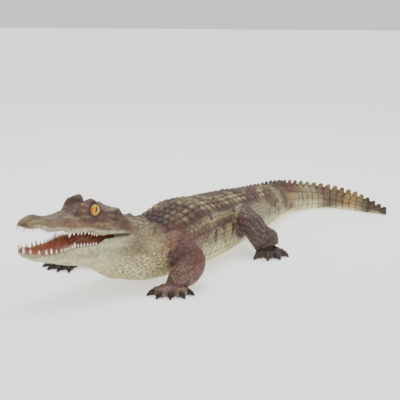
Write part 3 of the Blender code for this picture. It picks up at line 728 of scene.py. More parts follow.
# Carving depths in metres; scale sizes are the real ones on an animal of this length.
carving = {
    "scuteGap": 0.0014, "rowPlaces": (0.10, 0.29, 0.48, 0.66),
    "rowEdges": (0.0, 0.195, 0.385, 0.57, 0.75),
    "scute": [(23, 0.0060), (33, 0.0064), (37, 0.0042), (46, 0.0036), (52, 0.0038), (60, 0.0036)],
    "domeWide": 0.088, "domeLong": 0.40,
    "pebbleLong": 0.0150, "pebbleWide": 0.0105, "pebbleDepth": 0.0014,
    "slabWide": 0.0170, "slabDepth": 0.0015,
    "throatScale": 0.0125, "throatDepth": 0.0014, "ring": 0.0062, "ringDepth": 0.0021,
    "whorlGap": 0.0021, "whorlBulge": 0.0013, "plateGap": 0.0012, "plates": (0.30, 0.58, 0.84),
    "headGrain": 0.0013, "headLump": 0.0016, "streak": 0.0007, "toePlate": 0.0085, "toeDepth": 0.0008,
    "ear": 0.0045, "slit": 0.0042, "nostril": 0.0045, "brow": 0.0028, "grain": 0.00035,
}


# The slit behind each corner of the mouth, in the upper head's measures.
mouthCorner = ((0.20, 0.0, -0.006), (0.13, 0.0, 0.004), (0.06, 0.0, 0.016), (-0.03, 0.0, 0.026))


def carve(at):
    # height to add along the normal, and how deep in a gap each point lies, from 0 to 1
    station, share, angle, points = at["station"], at["share"], at["angle"], at["point"]
    row = np.clip(np.searchsorted(borders, station, side="right") - 1, 0, len(borders) - 2)
    rowLong = (borders[row + 1] - borders[row]) * percent
    rowPhase = np.clip((station - borders[row]) * percent / rowLong, 0, 1)
    lobe = np.sin(math.pi * rowPhase**1.25) ** 0.8
    rowGap = np.minimum(rowPhase, 1 - rowPhase) * rowLong
    tail = ramp(70, 79, station)
    onBody = (1 - at["limb"]) * (1 - at["head"])
    height = np.zeros(len(points))
    cavity = np.zeros(len(points))
    crestTop = ramp(0.004, 0.009, points[:, 2] - at["back"]) * ramp(50, 54, station)

    # rows of round studs over the back of neck and trunk, with small pebbles between
    above = ramp(0.05, 0.16, angle)
    dorsal = ramp(0.88, 0.76, share) * above * ramp(24.2, 25.4, station)
    dorsal = dorsal * (1 - ramp(58, 70, station)) * onBody
    dome = np.zeros(len(points))
    for place, low, high in zip(carving["rowPlaces"], carving["rowEdges"][:-1], carving["rowEdges"][1:]):
        inside = (share >= low) & (share < high)
        offRow = (share - place) / carving["domeWide"]
        offPeak = (rowPhase - 0.55) / carving["domeLong"]
        dome = np.where(inside, np.sqrt(np.clip(1 - offRow**2 - offPeak**2, 0, 1)), dome)
    at["dome"] = dome * dorsal
    between = ramp(0.45, 0.0, dome)
    grade = 1 - 0.25 * ramp(0.5, 0.75, share)
    height += dorsal * (follow(carving["scute"], station) * dome * grade - carving["scuteGap"] * between)
    cavity = np.maximum(cavity, dorsal * between * 0.55)

    # pebbles over the flanks, larger in cross rows towards the belly
    flank = onBody * (1 - dorsal * (1 - 0.7 * between)) * (1 - tail) * (1 - crestTop)
    run = station * percent
    down = angle * 0.085
    low = ramp(-0.12, -0.34, angle)
    edge, tone = scaleCells(run / carving["pebbleLong"], down / carving["pebbleWide"], 0.55, 3)
    pebble = ramp(0.0, 0.38, edge)
    slabs = row + rowPhase
    edgeLow, toneLow = scaleCells(slabs, down / carving["slabWide"], 0.14, 9, brick=False)
    slab = ramp(0.0, 0.24, edgeLow)
    neck = 0.80 * ramp(28, 24, station)
    throat = ramp(33, 26, station) * ramp(0.45 + neck, 0.15 + neck, angle) * (1 - at["head"] * 0.6)
    size = carving["throatScale"]
    edgeThroat, toneThroat = scaleCells(run / size, down / (size * 0.8), 0.75, 15)
    stone = ramp(0.0, 0.27, edgeThroat)
    mixed = (1 - throat) * ((1 - low) * pebble * carving["pebbleDepth"] + low * slab * carving["slabDepth"]) \
        + throat * stone * carving["throatDepth"]
    height += flank * mixed
    gap = (1 - throat) * ((1 - low) * (1 - pebble) + low * (1 - slab)) + throat * (1 - stone)
    cavity = np.maximum(cavity, flank * gap * (1 - 0.35 * throat * ramp(0.2, 0.5, angle)))
    at["tone"] = (1 - throat) * ((1 - low) * tone + low * toneLow) + throat * toneThroat

    # rings of the tail: a deep gap at each row, stacked oblong scales between
    ringGap = bump(rowGap, 0, 0.0019)
    stack = at["height"]
    edges = np.minimum.reduce([np.abs(stack - e) for e in carving["plates"]]) * (at["back"] - at["belly"])
    shelf = bump(edges, 0, 0.0013)
    tailSkin = tail * onBody
    swell = np.sin(math.pi * rowPhase) ** 0.7 * ramp(0.0, 0.004, edges)
    height += tailSkin * (carving["whorlBulge"] * swell * (1 - crestTop) - carving["whorlGap"] * ringGap
                          - carving["plateGap"] * shelf * (1 - crestTop))
    cavity = np.maximum(cavity, tailSkin * np.maximum(ringGap, 0.8 * shelf * (1 - crestTop)))
    cavity = np.maximum(cavity, crestTop * bump(rowGap, 0, 0.0022) * onBody)
    for area, value, marks, seed in ((tail, stack, "plates", 4), (dorsal, share, "rowEdges", 5)):
        key = np.stack([row, np.digitize(value, carving[marks]), (at["across"] > 0).astype(np.int64)], -1)
        at["tone"] = np.where(area > 0.5, hashed(key, seed), at["tone"])

    # limbs: broken rings of overlapping scales, plates across the toes
    limb = at["limb"] * (1 - at["toe"])
    size = carving["ring"]
    edgeLimb, toneLimb = scaleCells(at["limbAlong"] / size, at["limbTurn"] * 2.0, 0.30, 21)
    ridge = ramp(0.0, 0.45, edgeLimb) * (0.6 + 0.4 * np.sin(math.pi * ((at["limbAlong"] / size) % 1.0)))
    height += limb * carving["ringDepth"] * ridge
    at["ridge"] = limb * ramp(0.5, 0.95, ridge)
    cavity = np.maximum(cavity, limb * (1 - ramp(0.0, 0.30, edgeLimb)))
    toePhase = (at["toeAlong"] / carving["toePlate"]) % 1.0
    height += at["toe"] * carving["toeDepth"] * np.sin(math.pi * toePhase)
    cavity = np.maximum(cavity, at["toe"] * 0.7 * bump(np.minimum(toePhase, 1 - toePhase), 0, 0.14))
    at["tone"] = np.where(at["limb"] > 0.5, toneLimb, at["tone"])

    # head: pitted bony skin, small lip scales, faint streaks along the lower jaw
    head = at["head"]
    u = at["upper"]
    bony = head * ramp(0.02, 0.07, u[:, 2]) * (1 - at["jawSide"])
    grain = roughNoise(points * np.array([1.0, 1.0, 1.4]), 0.0075, 31)
    lump = roughNoise(points * np.array([0.8, 0.8, 1.3]), 0.019, 33)
    height += bony * (carving["headGrain"] * (1.6 * grain - 0.8) + carving["headLump"] * (1.6 * lump - 0.8))
    cavity = np.maximum(cavity, bony * 0.60 * ramp(0.46, 0.30, grain))
    lipLine = u[:, 2] - follow(headForm["lip"], u[:, 0])
    lipBand = head * (1 - at["jawSide"]) * ramp(0.062, 0.045, lipLine)
    lipBand = lipBand * ramp(-0.02, 0.0, lipLine) * ramp(0.02, 0.1, u[:, 0])
    lipPhase = (u[:, 0] / 0.052) % 1.0
    lipGap = bump(np.minimum(lipPhase, 1 - lipPhase), 0, 0.09)
    height += lipBand * (0.0006 - 0.0007 * lipGap)
    cavity = np.maximum(cavity, lipBand * lipGap * 0.35)
    jaw = head * at["jawSide"]
    v = at["lower"]
    streaks = softNoise(np.stack([v[:, 0] * 0.9, v[:, 1] * 9, v[:, 2] * 9], -1), 0.22, 41)
    height += jaw * carving["streak"] * (2 * streaks - 1)
    cavity = np.maximum(cavity, jaw * 0.22 * ramp(0.42, 0.25, streaks))

    # ear slit behind each eye, groove under the brow, slit at the mouth's corner, nostrils
    folded = np.stack([u[:, 0], np.abs(u[:, 1]), u[:, 2]], -1)
    sideOn = folded * np.array([1.0, 0.0, 1.0])
    outer = ramp(0.17, 0.20, folded[:, 1])
    ear = stroke(folded, ((0.255, 0.190, 0.205), (0.11, 0.215, 0.150)), 0.018)
    browGroove = stroke(folded, ((0.300, 0.190, 0.262), (0.235, 0.195, 0.240)), 0.013)
    corner = outer * np.maximum.reduce([
        stroke(sideOn, (start, end), 0.0165) for start, end in zip(mouthCorner[:-1], mouthCorner[1:])])
    nostril = stroke(folded, ((0.905, 0.040, 0.10), (0.925, 0.052, 0.092)), 0.014)
    height -= head * (carving["ear"] * ear + carving["slit"] * corner + carving["nostril"] * nostril
                      + carving["brow"] * browGroove)
    cavity = np.maximum(cavity, head * np.maximum.reduce([ear, corner, nostril, browGroove]))

    # fine grain all over
    height += carving["grain"] * (softNoise(points, 0.004, 51) - 0.5)
    areas = {"dorsal": dorsal, "throat": throat, "corner": corner, "crest": crestTop}
    return height, np.clip(cavity, 0, 1), areas


def linear(code):
    # sRGB hex to linear light
    c = np.array([int(code[k:k + 2], 16) for k in (0, 2, 4)]) / 255
    return np.where(c <= 0.04045, c / 12.92, ((c + 0.055) / 1.055) ** 2.4)


# Paints, by the maker's plain names.
paints = {
    "taupe": "624a3c", "olive": "7d7046", "tan": "98774a", "lipCream": "b9ad8c", "jawCream": "b9b38e",
    "throatCream": "c8bc8a", "khaki": "9c9068", "cream": "d0c690", "umber": "473226", "plum": "512f2b",
    "darkPlum": "36211f", "mauve": "74503f", "russet": "6c3526", "ochre": "8e662c", "greyPlum": "4e3d3e",
    "nearBlack": "241d1c", "brick": "c4866f", "rose": "cf978a", "maroon": "7c4636", "handMauve": "76574b",
    "sage": "8c9074", "lilac": "84726c", "rust": "9c6436", "slate": "4c464e",
}
paint = {name: linear(code) for name, code in paints.items()}


def layered(colour, layers):
    # paints laid one over another, each by its own share from 0 to 1
    for name, amount in layers:
        colour = colour + np.clip(amount, 0, 1)[:, None] * (paint[name] - colour)
    return colour


def bodyLayers(at, areas):
    station, angle, tone = at["station"], at["angle"], at["tone"]
    blot, blotSmall, patch = at["blot"], at["blotSmall"], at["patch"]
    back, dome, throat, offHead = areas["dorsal"], at["dome"], areas["throat"], 1 - at["head"]
    blotched = ramp(22, 26, station) * ramp(76, 70, station)
    wave = angle - 0.34 - 0.16 * (blotSmall - 0.5) - 0.10 * ramp(30, 40, station)
    cheek = 0.6 * ramp(24, 20, station)
    neckSide = bump(station, 24.0, 2.8) * bump(angle, 0.40, 0.40) * offHead
    return [
        # belly and lower flank cream, back olive and plum, in soft blotches
        ("cream", 0.85 * ramp(0.20, -0.30, angle) + 0.35 * (tone - 0.5)),
        ("sage", 0.45 * ramp(0.45, 0.65, patch) * ramp(-0.7, -0.1, angle)),
        ("olive", 0.40 * ramp(0.25, 0.75, angle)),
        ("mauve", 0.85 * blotched * ramp(0.54, 0.66, blot) * ramp(-0.45, 0.1, angle)),
        ("plum", 0.90 * blotched * ramp(0.56, 0.68, blotSmall) * ramp(-0.35, 0.25, angle)),
        # back: painted shade between the studs, cream on their tops, dark beads along the ridge
        ("umber", 0.70 * back * ramp(0.40, 0.58, blot)),
        ("plum", 0.75 * back * ramp(0.52, 0.64, patch)),
        # painted shade in the hollows between the studs
        ("umber", 0.45 * back * ramp(0.5, 0.1, dome)),
        ("cream", 0.34 * ramp(0.55, 0.95, dome) * ramp(0.60, 0.42, blotSmall) * ramp(0.25, 0.6, tone)),
        ("darkPlum", 0.75 * ramp(0.3, 0.8, dome) * ramp(0.36, 0.30, at["share"]) * ramp(0.25, 0.6, tone)),
        ("darkPlum", 0.85 * bump(station, 25.0, 2.6) * ramp(0.2, 0.5, angle) * offHead),
        # plum band along the edge of the back, from the neck to the hips
        ("plum", 0.80 * bump(wave, 0.0, 0.11) * ramp(22, 26, station) * ramp(46, 40, station)),
        # throat and chest, with a rusty tint on the side of the neck
        ("throatCream", 0.80 * throat * ramp(0.95 + cheek, 0.30 + cheek, angle)),
        ("cream", 0.45 * neckSide * ramp(0.45, 0.75, tone)),
        ("rust", 0.60 * neckSide * ramp(0.35, 0.62, blotSmall)),
        ("taupe", 0.70 * ramp(22.5, 19.5, station) * ramp(0.20, 0.50, angle)),
    ]


def tailLayers(at, areas):
    wobble = at["station"] + 2.4 * (at["blotSmall"] - 0.5)
    layers = []
    for name, centre, width, strength, low, high in tailBands:
        side = ramp(low - 0.10, low + 0.06, at["height"]) * ramp(high + 0.10, high - 0.06, at["height"])
        layers.append((name, strength * bump(wobble, centre, width) * side))
    layers.append(("umber", 0.45 * areas["crest"] * ramp(0.30, 0.65, at["tone"])))
    layers.append(("darkPlum", 0.70 * areas["crest"] * ramp(80, 66, at["station"])))
    return layers


def limbLayers(at):
    # mauve in front, dark plum behind, darker towards the claws; a plum band over the shoulder; painted
    # shadow in the crease before each hind leg and over the far fore foot
    station, angle, gone, left = at["station"], at["angle"], at["limbAlong"], at["point"][:, 1] < 0
    blot, blotSmall, patch = at["blot"], at["blotSmall"], at["patch"]
    limb = at["limb"]
    fore, hind = limb * at["fore"], limb * (1 - at["fore"])
    # where the hind leg meets the body, low down: the place of the painted shadow in the crease
    thighCreaseShade = (1 - at["fore"]) * ramp(0.020, 0.004, at["limbOutside"]) * ramp(0.006, 0.0, at["bodyOutside"])
    shoulder = bump(station, 26.4, 3.2) * ramp(1.20, 0.85, angle) * ramp(-0.45, 0.0, angle) * (1 - at["head"])
    return [
        ("handMauve", 0.95 * fore),
        ("plum", 0.75 * fore * ramp(0.48, 0.62, blotSmall)),
        ("plum", 0.80 * fore * ramp(0.085, 0.035, gone)),
        ("slate", 0.60 * fore * bump(gone, 0.075, 0.020) * ramp(0.42, 0.60, patch)),
        ("umber", 0.95 * hind),
        ("greyPlum", 0.65 * hind * ramp(0.42, 0.62, patch)),
        ("russet", 0.55 * hind * ramp(0.56, 0.72, blotSmall)),
        ("nearBlack", 0.45 * hind * ramp(0.50, 0.66, blot)),
        ("lilac", 0.45 * hind * at["ridge"] + 0.25 * fore * at["ridge"]),
        # painted shadow in the crease between belly and thigh
        ("nearBlack", 0.80 * thighCreaseShade * ramp(0.15, -0.10, angle) * (station > 30)),
        ("nearBlack", 0.55 * limb * ramp(0.55, 1.0, gone / 0.22) * (1 - 0.75 * at["fore"] * left)),
        # painted shadow: the far fore foot is darkened nearly black
        ("nearBlack", 0.80 * fore * ~left * ramp(0.09, 0.15, gone)),
        ("plum", 0.85 * shoulder * (0.55 + 0.45 * ramp(0.35, 0.55, blotSmall))),
        ("russet", 0.45 * shoulder),
    ]


def headLayers(at, areas):
    u, v, head, blotSmall = at["upper"], at["lower"], at["head"], at["blotSmall"]
    place, tall = u[:, 0], u[:, 2]
    top, jaw = head * (1 - at["jawSide"]), head * at["jawSide"]
    lipLine = tall - follow(headForm["lip"], place)
    grain = softNoise(np.stack([place * 3.5, u[:, 1] * 16, tall * 20], -1), 0.5, 97)
    jawTone = softNoise(np.stack([v[:, 0] * 2.0, v[:, 1] * 12, v[:, 2] * 14], -1), 0.4, 99)
    return [
        ("taupe", 0.95 * top),
        ("olive", 0.75 * top * ramp(0.46, 0.60, place) * ramp(0.56, 0.44, blotSmall)),
        ("tan", 0.70 * top * bump(place, 0.66, 0.15) * bump(tall, 0.050, 0.035) * ramp(0.4, 0.6, grain)),
        ("rust", 0.30 * top * bump(place, 0.50, 0.12) * bump(tall, 0.075, 0.03)),
        ("plum", 0.70 * top * bump(place, 0.46, 0.10) * ramp(0.08, 0.16, tall)),
        ("darkPlum", 0.60 * top * ramp(0.17, 0.26, tall) * ramp(0.44, 0.58, blotSmall)),
        ("umber", 0.55 * top * ramp(0.56, 0.70, grain)),
        ("khaki", 0.40 * top * ramp(0.44, 0.30, grain)),
        ("tan", 0.35 * top * bump(lipLine, 0.055, 0.014) * ramp(0.15, 0.30, place) * ramp(0.35, 0.6, grain)),
        ("lipCream", 0.85 * top * ramp(0.046, 0.028, lipLine) * ramp(0.95, 0.85, place)),
        ("umber", 0.60 * top * bump(lipLine, 0.004, 0.009) * ramp(0.45, 0.60, blotSmall)),
        ("jawCream", 0.95 * jaw),
        ("sage", 0.55 * jaw * ramp(0.48, 0.66, jawTone)),
        ("throatCream", 0.50 * jaw * ramp(0.48, 0.34, jawTone)),
        ("umber", 0.30 * jaw * ramp(0.60, 0.72, at["speckle"])),
        ("mauve", 0.45 * jaw * ramp(0.50, 0.75, v[:, 0]) * ramp(-0.06, -0.02, v[:, 2])),
        ("umber", 0.60 * top * ramp(0.90, 0.98, place) * ramp(0.08, 0.03, tall)),
        ("umber", 0.90 * head * areas["corner"]),
    ]


def rimLayers(at):
    # dark rim round each eye
    gaps = [np.linalg.norm(at["point"] - eye["centre"], axis=1) for eye in eyes.values()]
    return [("darkPlum", 0.85 * ramp(0.0200, 0.0165, gap)) for gap in gaps]


def paintSkin(at, areas):
    points = at["point"]
    at["blot"] = roughNoise(points, 0.050, 61)
    at["blotSmall"] = roughNoise(points, 0.026, 71)
    at["speckle"] = roughNoise(points, 0.008, 81)
    at["patch"] = softNoise(points, 0.036, 95)
    colour = np.tile(paint["khaki"], (len(points), 1))
    colour = layered(colour, bodyLayers(at, areas) + tailLayers(at, areas) + limbLayers(at))
    colour = layered(colour, headLayers(at, areas) + rimLayers(at))
    # the tone of each scale, and speckle
    colour *= (0.88 + 0.24 * at["tone"])[:, None]
    colour *= (0.78 + 0.44 * at["speckle"])[:, None]
    return layered(colour, mouthLayers(at))


# Bands of the tail: paint, station, width, strength, lowest and highest share of the height covered.
tailBands = (
    ("plum", 62.0, 1.8, 0.75, 0.55, 0.88), ("plum", 66.2, 1.5, 0.70, 0.25, 0.50),
    ("darkPlum", 71.8, 1.9, 0.80, 0.34, 1.20), ("plum", 75.2, 3.0, 0.95, 0.22, 0.44),
    ("plum", 76.0, 3.6, 0.90, 0.82, 1.20), ("ochre", 75.0, 1.6, 0.60, 0.50, 0.76),
    ("russet", 79.0, 1.6, 0.60, 0.85, 1.60), ("greyPlum", 88.6, 2.8, 0.92, 0.12, 1.10),
    ("russet", 87.0, 1.8, 0.45, 0.95, 1.80), ("ochre", 93.0, 3.4, 0.75, 0.32, 1.90),
    ("umber", 91.4, 1.1, 0.55, 0.40, 1.50), ("darkPlum", 97.5, 1.6, 0.92, -0.20, 1.90),
    ("darkPlum", 99.5, 1.8, 0.85, 0.50, 1.90), ("rose", 98.9, 0.5, 0.50, 0.15, 0.50),
    ("darkPlum", 101.4, 1.9, 0.92, 0.15, 1.90),
)


def mouthLayers(at):
    # inside of the lips on both jaws: rose in front, brick on tongue and gums, maroon towards the throat
    u, v = at["upper"], at["lower"]
    lipUp, lipLow = follow(headForm["lip"], u[:, 0]), follow(headForm["jawLip"], v[:, 0])
    offUp = np.abs(u[:, 1]) - follow(headForm["width"], u[:, 0]) * 0.97
    offLow = np.abs(v[:, 1]) - follow(headForm["jawWidth"], v[:, 0]) * 0.97
    facingDown = at["normal"] @ headAxes(headForm["tilt"])[2] < -0.2
    facingUp = at["normal"] @ headAxes(headForm["jawTilt"])[2] > 0.1
    roof = (u[:, 2] < lipUp + 0.12 * u[:, 0]) * ramp(-0.004, -0.014, offUp) \
        * ramp(0.060, 0.052, np.abs(u[:, 2] - lipUp)) * (u[:, 0] > 0.0) * (u[:, 0] < 0.97) * facingDown
    floor = (v[:, 2] < lipLow + 0.012) * ramp(0.002, -0.008, offLow) \
        * ramp(0.10, 0.09, np.abs(v[:, 2] - lipLow)) * (v[:, 0] > 0.0) * (v[:, 0] < 0.955) * facingUp
    at["mouth"] = np.maximum(roof, floor)
    return [
        ("brick", floor),
        ("rose", floor * 0.75 * ramp(0.55, 0.85, v[:, 0])),
        ("maroon", floor * 0.55 * ramp(0.34, 0.10, v[:, 0])),
        ("brick", roof),
        ("maroon", roof * 0.55 * ramp(0.62, 0.25, u[:, 0])),
    ]


def skinPiece():
    points, triangles = rawSkin()
    print("skin joined", len(points), "points")
    at = skinPlaces(points)
    seam = ramp(0.022, 0.004, np.abs(at["bodyOutside"])) * ramp(0.022, 0.004, np.abs(at["limbOutside"]))
    neck = bump(at["upper"][:, 0], -0.12, 0.14) * ramp(0.04, 0.01, np.abs(at["bodyOutside"]))
    weights = 0.25 + 0.35 * np.maximum(seam, neck)
    points = eased(points, triangles, weights * 0.8, 3)
    points = eased(points, triangles, 0.7 * np.maximum(seam, neck), 14)
    points = openEyes(points)
    normals = normalsOf(points, triangles)
    at = skinPlaces(points)
    height, _, _ = carve(at)
    points = points + normals * height[:, None]
    points = withinBox(points)
    print("skin carved")
    shape = meshObject("carvedSkin", points, triangles)
    thin = shape.modifiers.new("thin", "DECIMATE")
    thin.ratio = min(1.0, skinForm["triangles"] / len(triangles))
    points, triangles = bakedArrays(shape)
    points = withinBox(points)
    at = skinPlaces(points)
    at["normal"] = normalsOf(points, triangles)
    _, cavity, areas = carve(at)
    colour = paintSkin(at, areas)
    skin = meshObject("crocodileSkin", points, triangles)
    setPaint(skin, colour)
    for name, value in (("cavity", cavity), ("mouth", at["mouth"])):
        skin.data.attributes.new(name, "FLOAT", "POINT").data.foreach_set("value", value.astype(np.float32))
    print("skin painted", len(triangles), "triangles")
    return skin


def openEyes(points):
    # skin inside an eyeball's sphere, or over its front, is drawn back behind the ball's visible face
    moved = points.copy()
    for eye in eyes.values():
        offset = moved - eye["centre"]
        distance = np.linalg.norm(offset, axis=1)
        facing = offset @ eye["look"] / np.maximum(distance, 1e-9)
        front = (distance < eye["radius"] + 0.0012) & (facing > 0.30)
        shrink = np.where(front, (eye["radius"] - 0.0035) / np.maximum(distance, 1e-9), 1.0)
        moved = eye["centre"] + offset * np.minimum(shrink, 1.0)[:, None]
    return moved


# Materials.
def addNode(tree, kind, settings=None, links=None):
    node = tree.nodes.new(kind)
    for name, value in (settings or {}).items():
        if isinstance(name, int) or name in node.inputs:
            node.inputs[name].default_value = value
        else:
            setattr(node, name, value)
    for name, source in (links or {}).items():
        tree.links.new(source, node.inputs[name])
    return node


def newMaterial(name):
    material = bpy.data.materials.new(name)
    material.use_nodes = True
    tree = material.node_tree
    return material, tree, tree.nodes["Principled BSDF"]


def rangeNode(tree, source, low, high, toLow, toHigh):
    limits = {"From Min": low, "From Max": high, "To Min": toLow, "To Max": toHigh}
    return addNode(tree, "ShaderNodeMapRange", limits, {"Value": source}).outputs["Result"]


def paintedResin():
    # Cast polyester resin under matt acrylic paint, with painted shade: the gaps are darkened towards dark
    # brown, tops stay light.
    material, tree, shader = newMaterial("paintedResin")
    tint, gap, wet = (addNode(tree, "ShaderNodeAttribute", {"attribute_name": name})
                      for name in ("paint", "cavity", "mouth"))
    where = addNode(tree, "ShaderNodeTexCoord")
    mottle = addNode(tree, "ShaderNodeTexNoise", {"Scale": 130.0, "Detail": 4.0, "Roughness": 0.65},
                     {"Vector": where.outputs["Object"]})
    # painted shade: the deeper in a gap, the nearer the paint goes to dark brown
    gapShade = rangeNode(tree, gap.outputs["Fac"], 0.20, 0.9, 0.0, 0.85)
    light = rangeNode(tree, mottle.outputs["Fac"], 0.3, 0.7, 0.66, 1.34)
    base = addNode(tree, "ShaderNodeVectorMath", {"operation": "SCALE"},
                   {0: tint.outputs["Color"], "Scale": light})
    darkened = addNode(tree, "ShaderNodeMix",
                       {"data_type": "RGBA", "blend_type": "MIX", 7: (*linear("3a2c26"), 1.0)},
                       {0: gapShade, 6: base.outputs["Vector"]})
    tree.links.new(darkened.outputs[2], shader.inputs["Base Color"])
    tree.links.new(rangeNode(tree, wet.outputs["Fac"], 0.0, 1.0, 0.56, 0.24), shader.inputs["Roughness"])
    grain = addNode(tree, "ShaderNodeTexNoise", {"Scale": 420.0, "Detail": 3.0},
                    {"Vector": where.outputs["Object"]})
    relief = addNode(tree, "ShaderNodeBump", {"Strength": 0.35, "Distance": 0.0006},
                     {"Height": grain.outputs["Fac"]})
    tree.links.new(relief.outputs["Normal"], shader.inputs["Normal"])
    shader.inputs["Specular IOR Level"].default_value = 0.45
    return material


def ivoryEnamel():
    # Teeth in gloss cream enamel, browner at the gum through the piece's own tint.
    material, tree, shader = newMaterial("ivoryEnamel")
    tint = addNode(tree, "ShaderNodeAttribute", {"attribute_name": "paint"})
    tree.links.new(tint.outputs["Color"], shader.inputs["Base Color"])
    shader.inputs["Roughness"].default_value = 0.28
    return material


def hornLacquer():
    # Claws in dark satin lacquer, worn paler by noise about 3 mm across; the hind ones are browner.
    material, tree, shader = newMaterial("hornLacquer")
    where = addNode(tree, "ShaderNodeTexCoord")
    noise = addNode(tree, "ShaderNodeTexNoise", {"Scale": 330.0, "Detail": 3.0},
                    {"Vector": where.outputs["Object"]})
    worn = rangeNode(tree, noise.outputs["Fac"], 0.46, 0.72, 0.0, 0.45)
    lacquer = addNode(tree, "ShaderNodeMix",
                      {"data_type": "RGBA", 6: (*linear("1c1716"), 1.0), 7: (*linear("6a5a50"), 1.0)},
                      {0: worn})
    along = addNode(tree, "ShaderNodeSeparateXYZ", {}, {"Vector": where.outputs["Object"]})
    behind = rangeNode(tree, along.outputs["X"], -0.06, -0.04, 0.0, 0.75)
    tinted = addNode(tree, "ShaderNodeMix", {"data_type": "RGBA", 7: (*linear("4b3a34"), 1.0)},
                     {0: behind, 6: lacquer.outputs[2]})
    tree.links.new(tinted.outputs[2], shader.inputs["Base Color"])
    shader.inputs["Roughness"].default_value = 0.42
    shader.inputs["Specular IOR Level"].default_value = 0.3
    return material


def glassyEye():
    # Eye painted under a thick clear coat, so the highlight sits above the iris.
    material, tree, shader = newMaterial("glassyEye")
    tint = addNode(tree, "ShaderNodeAttribute", {"attribute_name": "paint"})
    tree.links.new(tint.outputs["Color"], shader.inputs["Base Color"])
    shader.inputs["Roughness"].default_value = 0.12
    shader.inputs["Specular IOR Level"].default_value = 0.3
    shader.inputs["Coat Weight"].default_value = 0.5
    shader.inputs["Coat Roughness"].default_value = 0.03
    return material


def setPaint(piece, colour):
    values = np.concatenate([colour, np.ones((len(colour), 1))], 1).astype(np.float32)
    piece.data.attributes.new("paint", "FLOAT_COLOR", "POINT").data.foreach_set("color", values.ravel())


# Teeth: place along the jaw and height as a multiple of the common one, on both sides of each jaw.
teeth = {
    "height": 0.0072, "root": 0.0035, "radius": 0.0023, "inset": 0.017,
    "upper": [(0.940, 1.6), (0.915, 0.8), (0.885, 0.9), (0.85, 0.8), (0.81, 0.8), (0.77, 0.8),
              (0.735, 0.8), (0.70, 0.85), (0.671, 0.9), (0.63, 1.0), (0.596, 1.0), (0.551, 1.75),
              (0.513, 1.0), (0.475, 1.0), (0.445, 1.0), (0.412, 1.0), (0.378, 0.95), (0.351, 0.9),
              (0.3255, 0.9), (0.30, 0.85)],
    "lower": [(0.930, 1.6), (0.886, 1.15), (0.821, 1.15), (0.76, 1.5), (0.7145, 1.6), (0.6685, 1.0),
              (0.622, 1.0), (0.594, 1.0), (0.573, 0.9), (0.550, 1.0), (0.525, 1.2), (0.500, 1.75),
              (0.4685, 1.05), (0.44, 1.05), (0.411, 1.0), (0.381, 1.0), (0.353, 1.0), (0.3245, 1.0),
              (0.30, 0.9)],
    "gum": "c8ae92", "enamel": "f8f3e4",
}


def toothSolid(base, top, radius, lean):
    # cone with a swelling foot, bowed inwards; rings shrink as a quarter ellipse so that the tip is round
    axis = top - base
    side = np.cross(axis, [0.3, 0.2, 1.0])
    side /= np.linalg.norm(side)
    other = np.cross(axis, side)
    other /= np.linalg.norm(other)
    rows, sides = detail["tooth"]
    rise = np.linspace(0, 1, rows)[:, None, None]
    turn = fullTurn(sides)[None, :, None]
    girth = radius * (np.sqrt(1 - (0.995 * rise) ** 2.4) * (1 - 0.15 * rise) + 0.02)
    rings = base + axis * rise + lean * (rise**2) + girth * (np.cos(turn) * side + np.sin(turn) * other)
    return ringSolid(rings)


def toothPiece(name, rows, width, lip, tilt, down):
    solids, tints = [], []
    across = headAxes(tilt)[1]
    gumTint, enamelTint = linear(teeth["gum"]), linear(teeth["enamel"])
    for place, factor in rows:
        tall = teeth["height"] * factor
        half = float(follow(headForm[width], place)) - teeth["inset"]
        edge = float(follow(headForm[lip], place))
        for side in (1, -1):
            base = fromHead((place, side * half, edge - down * teeth["root"] / headLength), tilt)
            top = fromHead((place + 0.003, side * (half + 0.010), edge + down * tall / headLength), tilt)
            solid = toothSolid(base, top, teeth["radius"] * (0.62 + 0.40 * factor), -side * 0.0008 * across)
            solids.append(solid)
            gum = np.clip(((solid[0] - base) @ (top - base)) / (top - base).dot(top - base), 0, 1)
            tints.append(gumTint + ramp(0.22, 0.42, gum)[:, None] * (enamelTint - gumTint))
    points, triangles = joined(solids)
    piece = meshObject(name, withinBox(points), triangles)
    setPaint(piece, np.concatenate(tints))
    return piece


# Paints of the eye, the iris as an angle from the line of sight, and the slit in shares of the radius.
eyePaint = {
    "iris": "cc9a00", "irisRim": "b07400", "flush": "b42c0a", "pupil": "080504", "white": "c8705c",
    "edge": "2e1610", "irisAngle": 1.10, "pupilBack": 0.14, "pupilWide": 0.125, "pupilTall": 0.56,
}


